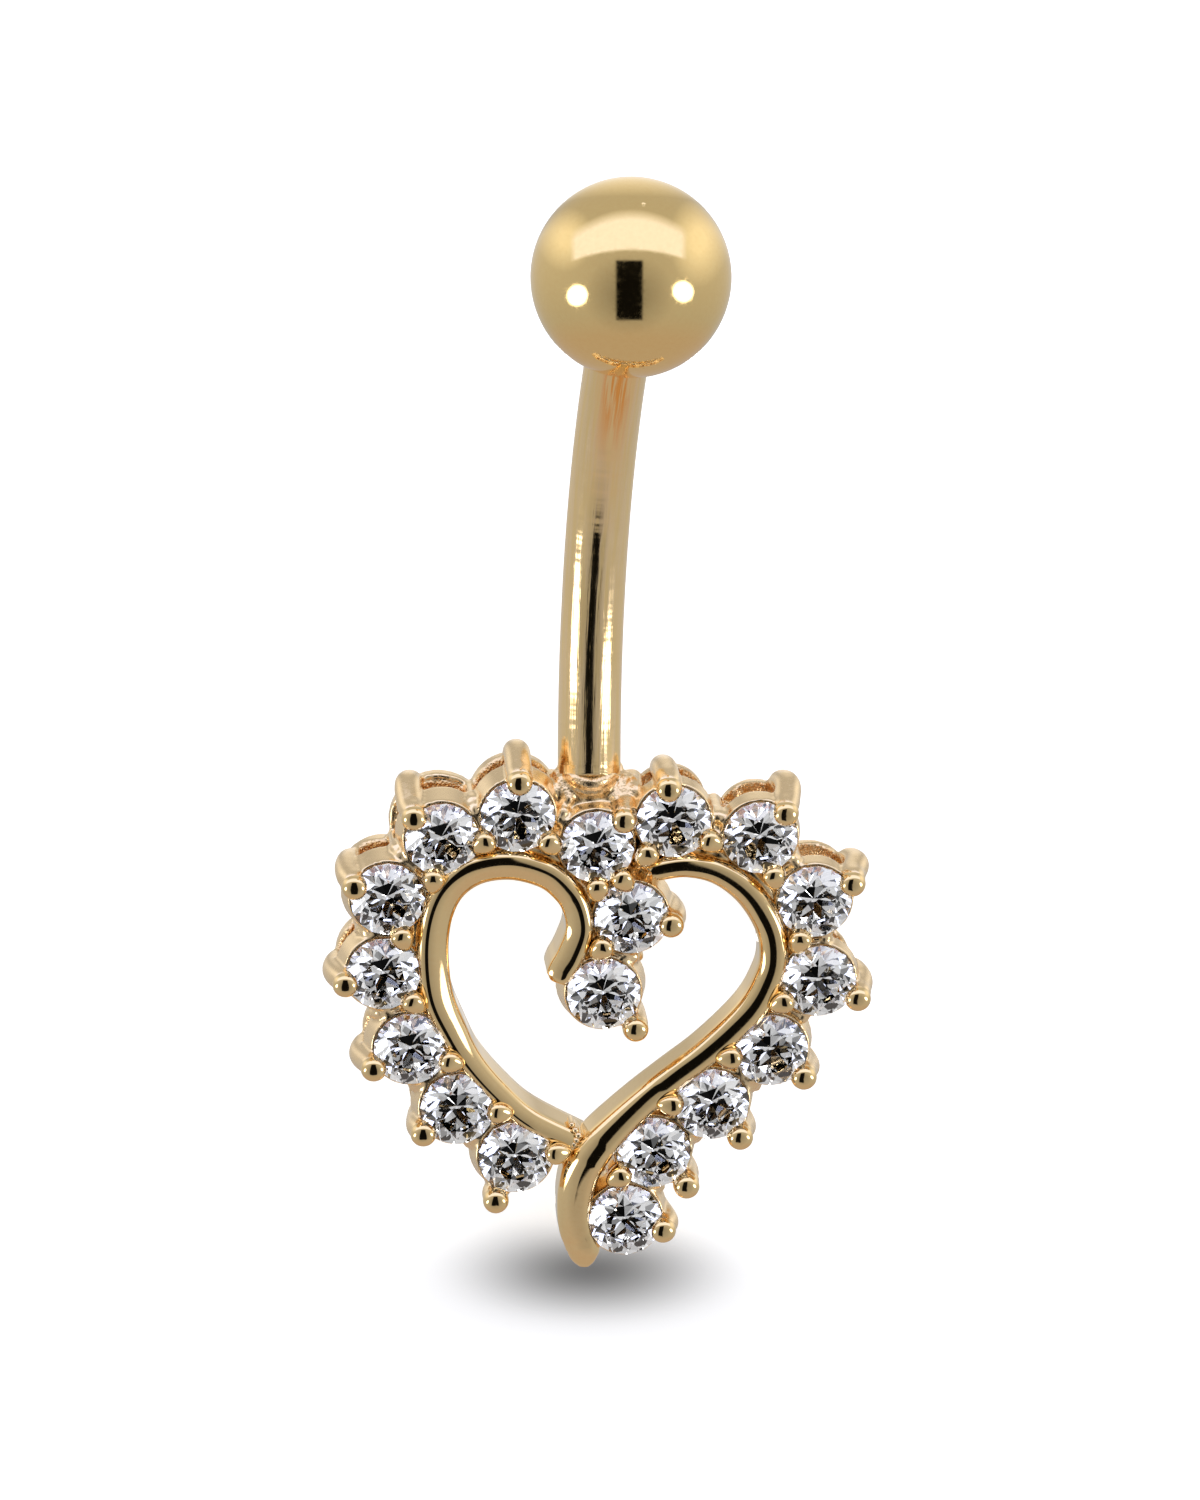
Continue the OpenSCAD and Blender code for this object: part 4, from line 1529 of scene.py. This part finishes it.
# %% [markdown]
# Low down the tent mirrors the ring's own warm light, and the soft box's tube is
# cooler than the tent. The colour goes to the world's background, and all that
# the cells before have made goes to its strength.
# %% World
TENT_TINT = (1, 1, 1, 1)
LOW_TINT = (1.02, 0.905, 0.85, 1)
BOX_TINT = (0.97, 1.05, 1.42, 1)


def studio_world():
    """Paints the tent on the world."""
    world = bpy.data.worlds.new("light_tent")
    world.use_nodes = True
    tree = world.node_tree
    across, up, back = mirror_grid(tree)
    box = soft_box(tree, across, up)
    bright = add_lights(tree, across, up, tent_cloth(tree, across, up), box)
    low, warm = blend_colours(tree, TENT_TINT, LOW_TINT)
    cool, tint = blend_colours(tree, warm, BOX_TINT)
    background = tree.nodes["Background"].inputs
    join_up(
        tree,
        (ramp(tree, up, -0.4, -0.62, 0, 1), low),
        (box, cool),
        (tint, background["Color"]),
        (times(tree, bright, share_of_light(tree, across, up, back)), background["Strength"]),
    )
    return world


world = bpy.context.scene.world = studio_world()
print(world.name, "has", len(world.node_tree.nodes), "nodes")

# %% [markdown]
# The table is a plain pale sheet, lit from below as product tables are: it glows
# for the camera's own rays, so bright that it burns out to white, and only the
# closest shadow is left. Below the heart's tip a painted shadow dims the sheet's
# colour and glow: a wide soft patch with a darker core.
# %% Table finish
TABLE_DARK = (0.86, 0.84, 0.8, 1)
TABLE_PALE = (0.9, 0.9, 0.9, 1)
TABLE_GLOW = 0.86
CLOUD_SHARE = 0.04
# Middle, half sizes and depth of each patch of painted shadow, in metres
PAINTED_SHADOWS = [
    ((0, -0.0158), (0.0105, 0.0036), 0.42),
    ((0.0001, -0.01535), (0.0044, 0.0017), 0.78),
]


def sheet_light_with_painted_shadow(tree, where):
    """1 on the open sheet, and less in the patches of painted shadow."""
    parts = node(tree, "ShaderNodeSeparateXYZ")
    tree.links.new(where, parts.inputs[0])
    light = 1
    for middle, size, depth in PAINTED_SHADOWS:
        away = from_spot(tree, parts.outputs["X"], parts.outputs["Y"], middle, size)
        patch = node(tree, "ShaderNodeMapRange", interpolation_type="SMOOTHSTEP")
        tree.links.new(away, patch.inputs["Value"])
        patch.inputs["To Min"].default_value = 1 - depth
        light = times(tree, patch.outputs["Result"], light)
    return light


def table_material():
    mat, tree, shader = principled("pale_table", 0)
    shader["Roughness"].default_value = 0.9
    shader["Emission Color"].default_value = (1, 1, 1, 1)
    where, cloud = clouds(tree, 60)
    # The painted shadow dims both the sheet's colour and its glow
    light = sheet_light_with_painted_shadow(tree, where)
    seen = node(tree, "ShaderNodeLightPath").outputs["Is Camera Ray"]
    share, tint = blend_colours(tree, TABLE_DARK, TABLE_PALE)
    lit = node(tree, "ShaderNodeVectorMath", operation="SCALE")
    join_up(
        tree,
        (calc(tree, "MULTIPLY_ADD", cloud, CLOUD_SHARE, seen), share),
        (tint, lit.inputs[0]),
        (light, lit.inputs["Scale"]),
        (lit.outputs[0], shader["Base Color"]),
        (times(tree, times(tree, seen, TABLE_GLOW), light), shader["Emission Strength"]),
    )
    return mat


TABLE_FINISH = table_material()
print("table finish:", TABLE_FINISH.name)

# %% [markdown]
# On a raised stand, metal mirrors the tent's lower walls and not the sheet. So the
# sheet stays out of mirror reflections. The plain view transform keeps the whites
# and the gold as they were lit.
# %% Table
TABLE_SIZE = 1.5
bpy.ops.mesh.primitive_plane_add(size=TABLE_SIZE, location=(0, 0, 0))
table = bpy.context.object
table.name = "table"
table.data.materials.append(TABLE_FINISH)
table.visible_glossy = False
bpy.context.scene.view_settings.view_transform = "Standard"
print("table is", TABLE_SIZE, "m wide")
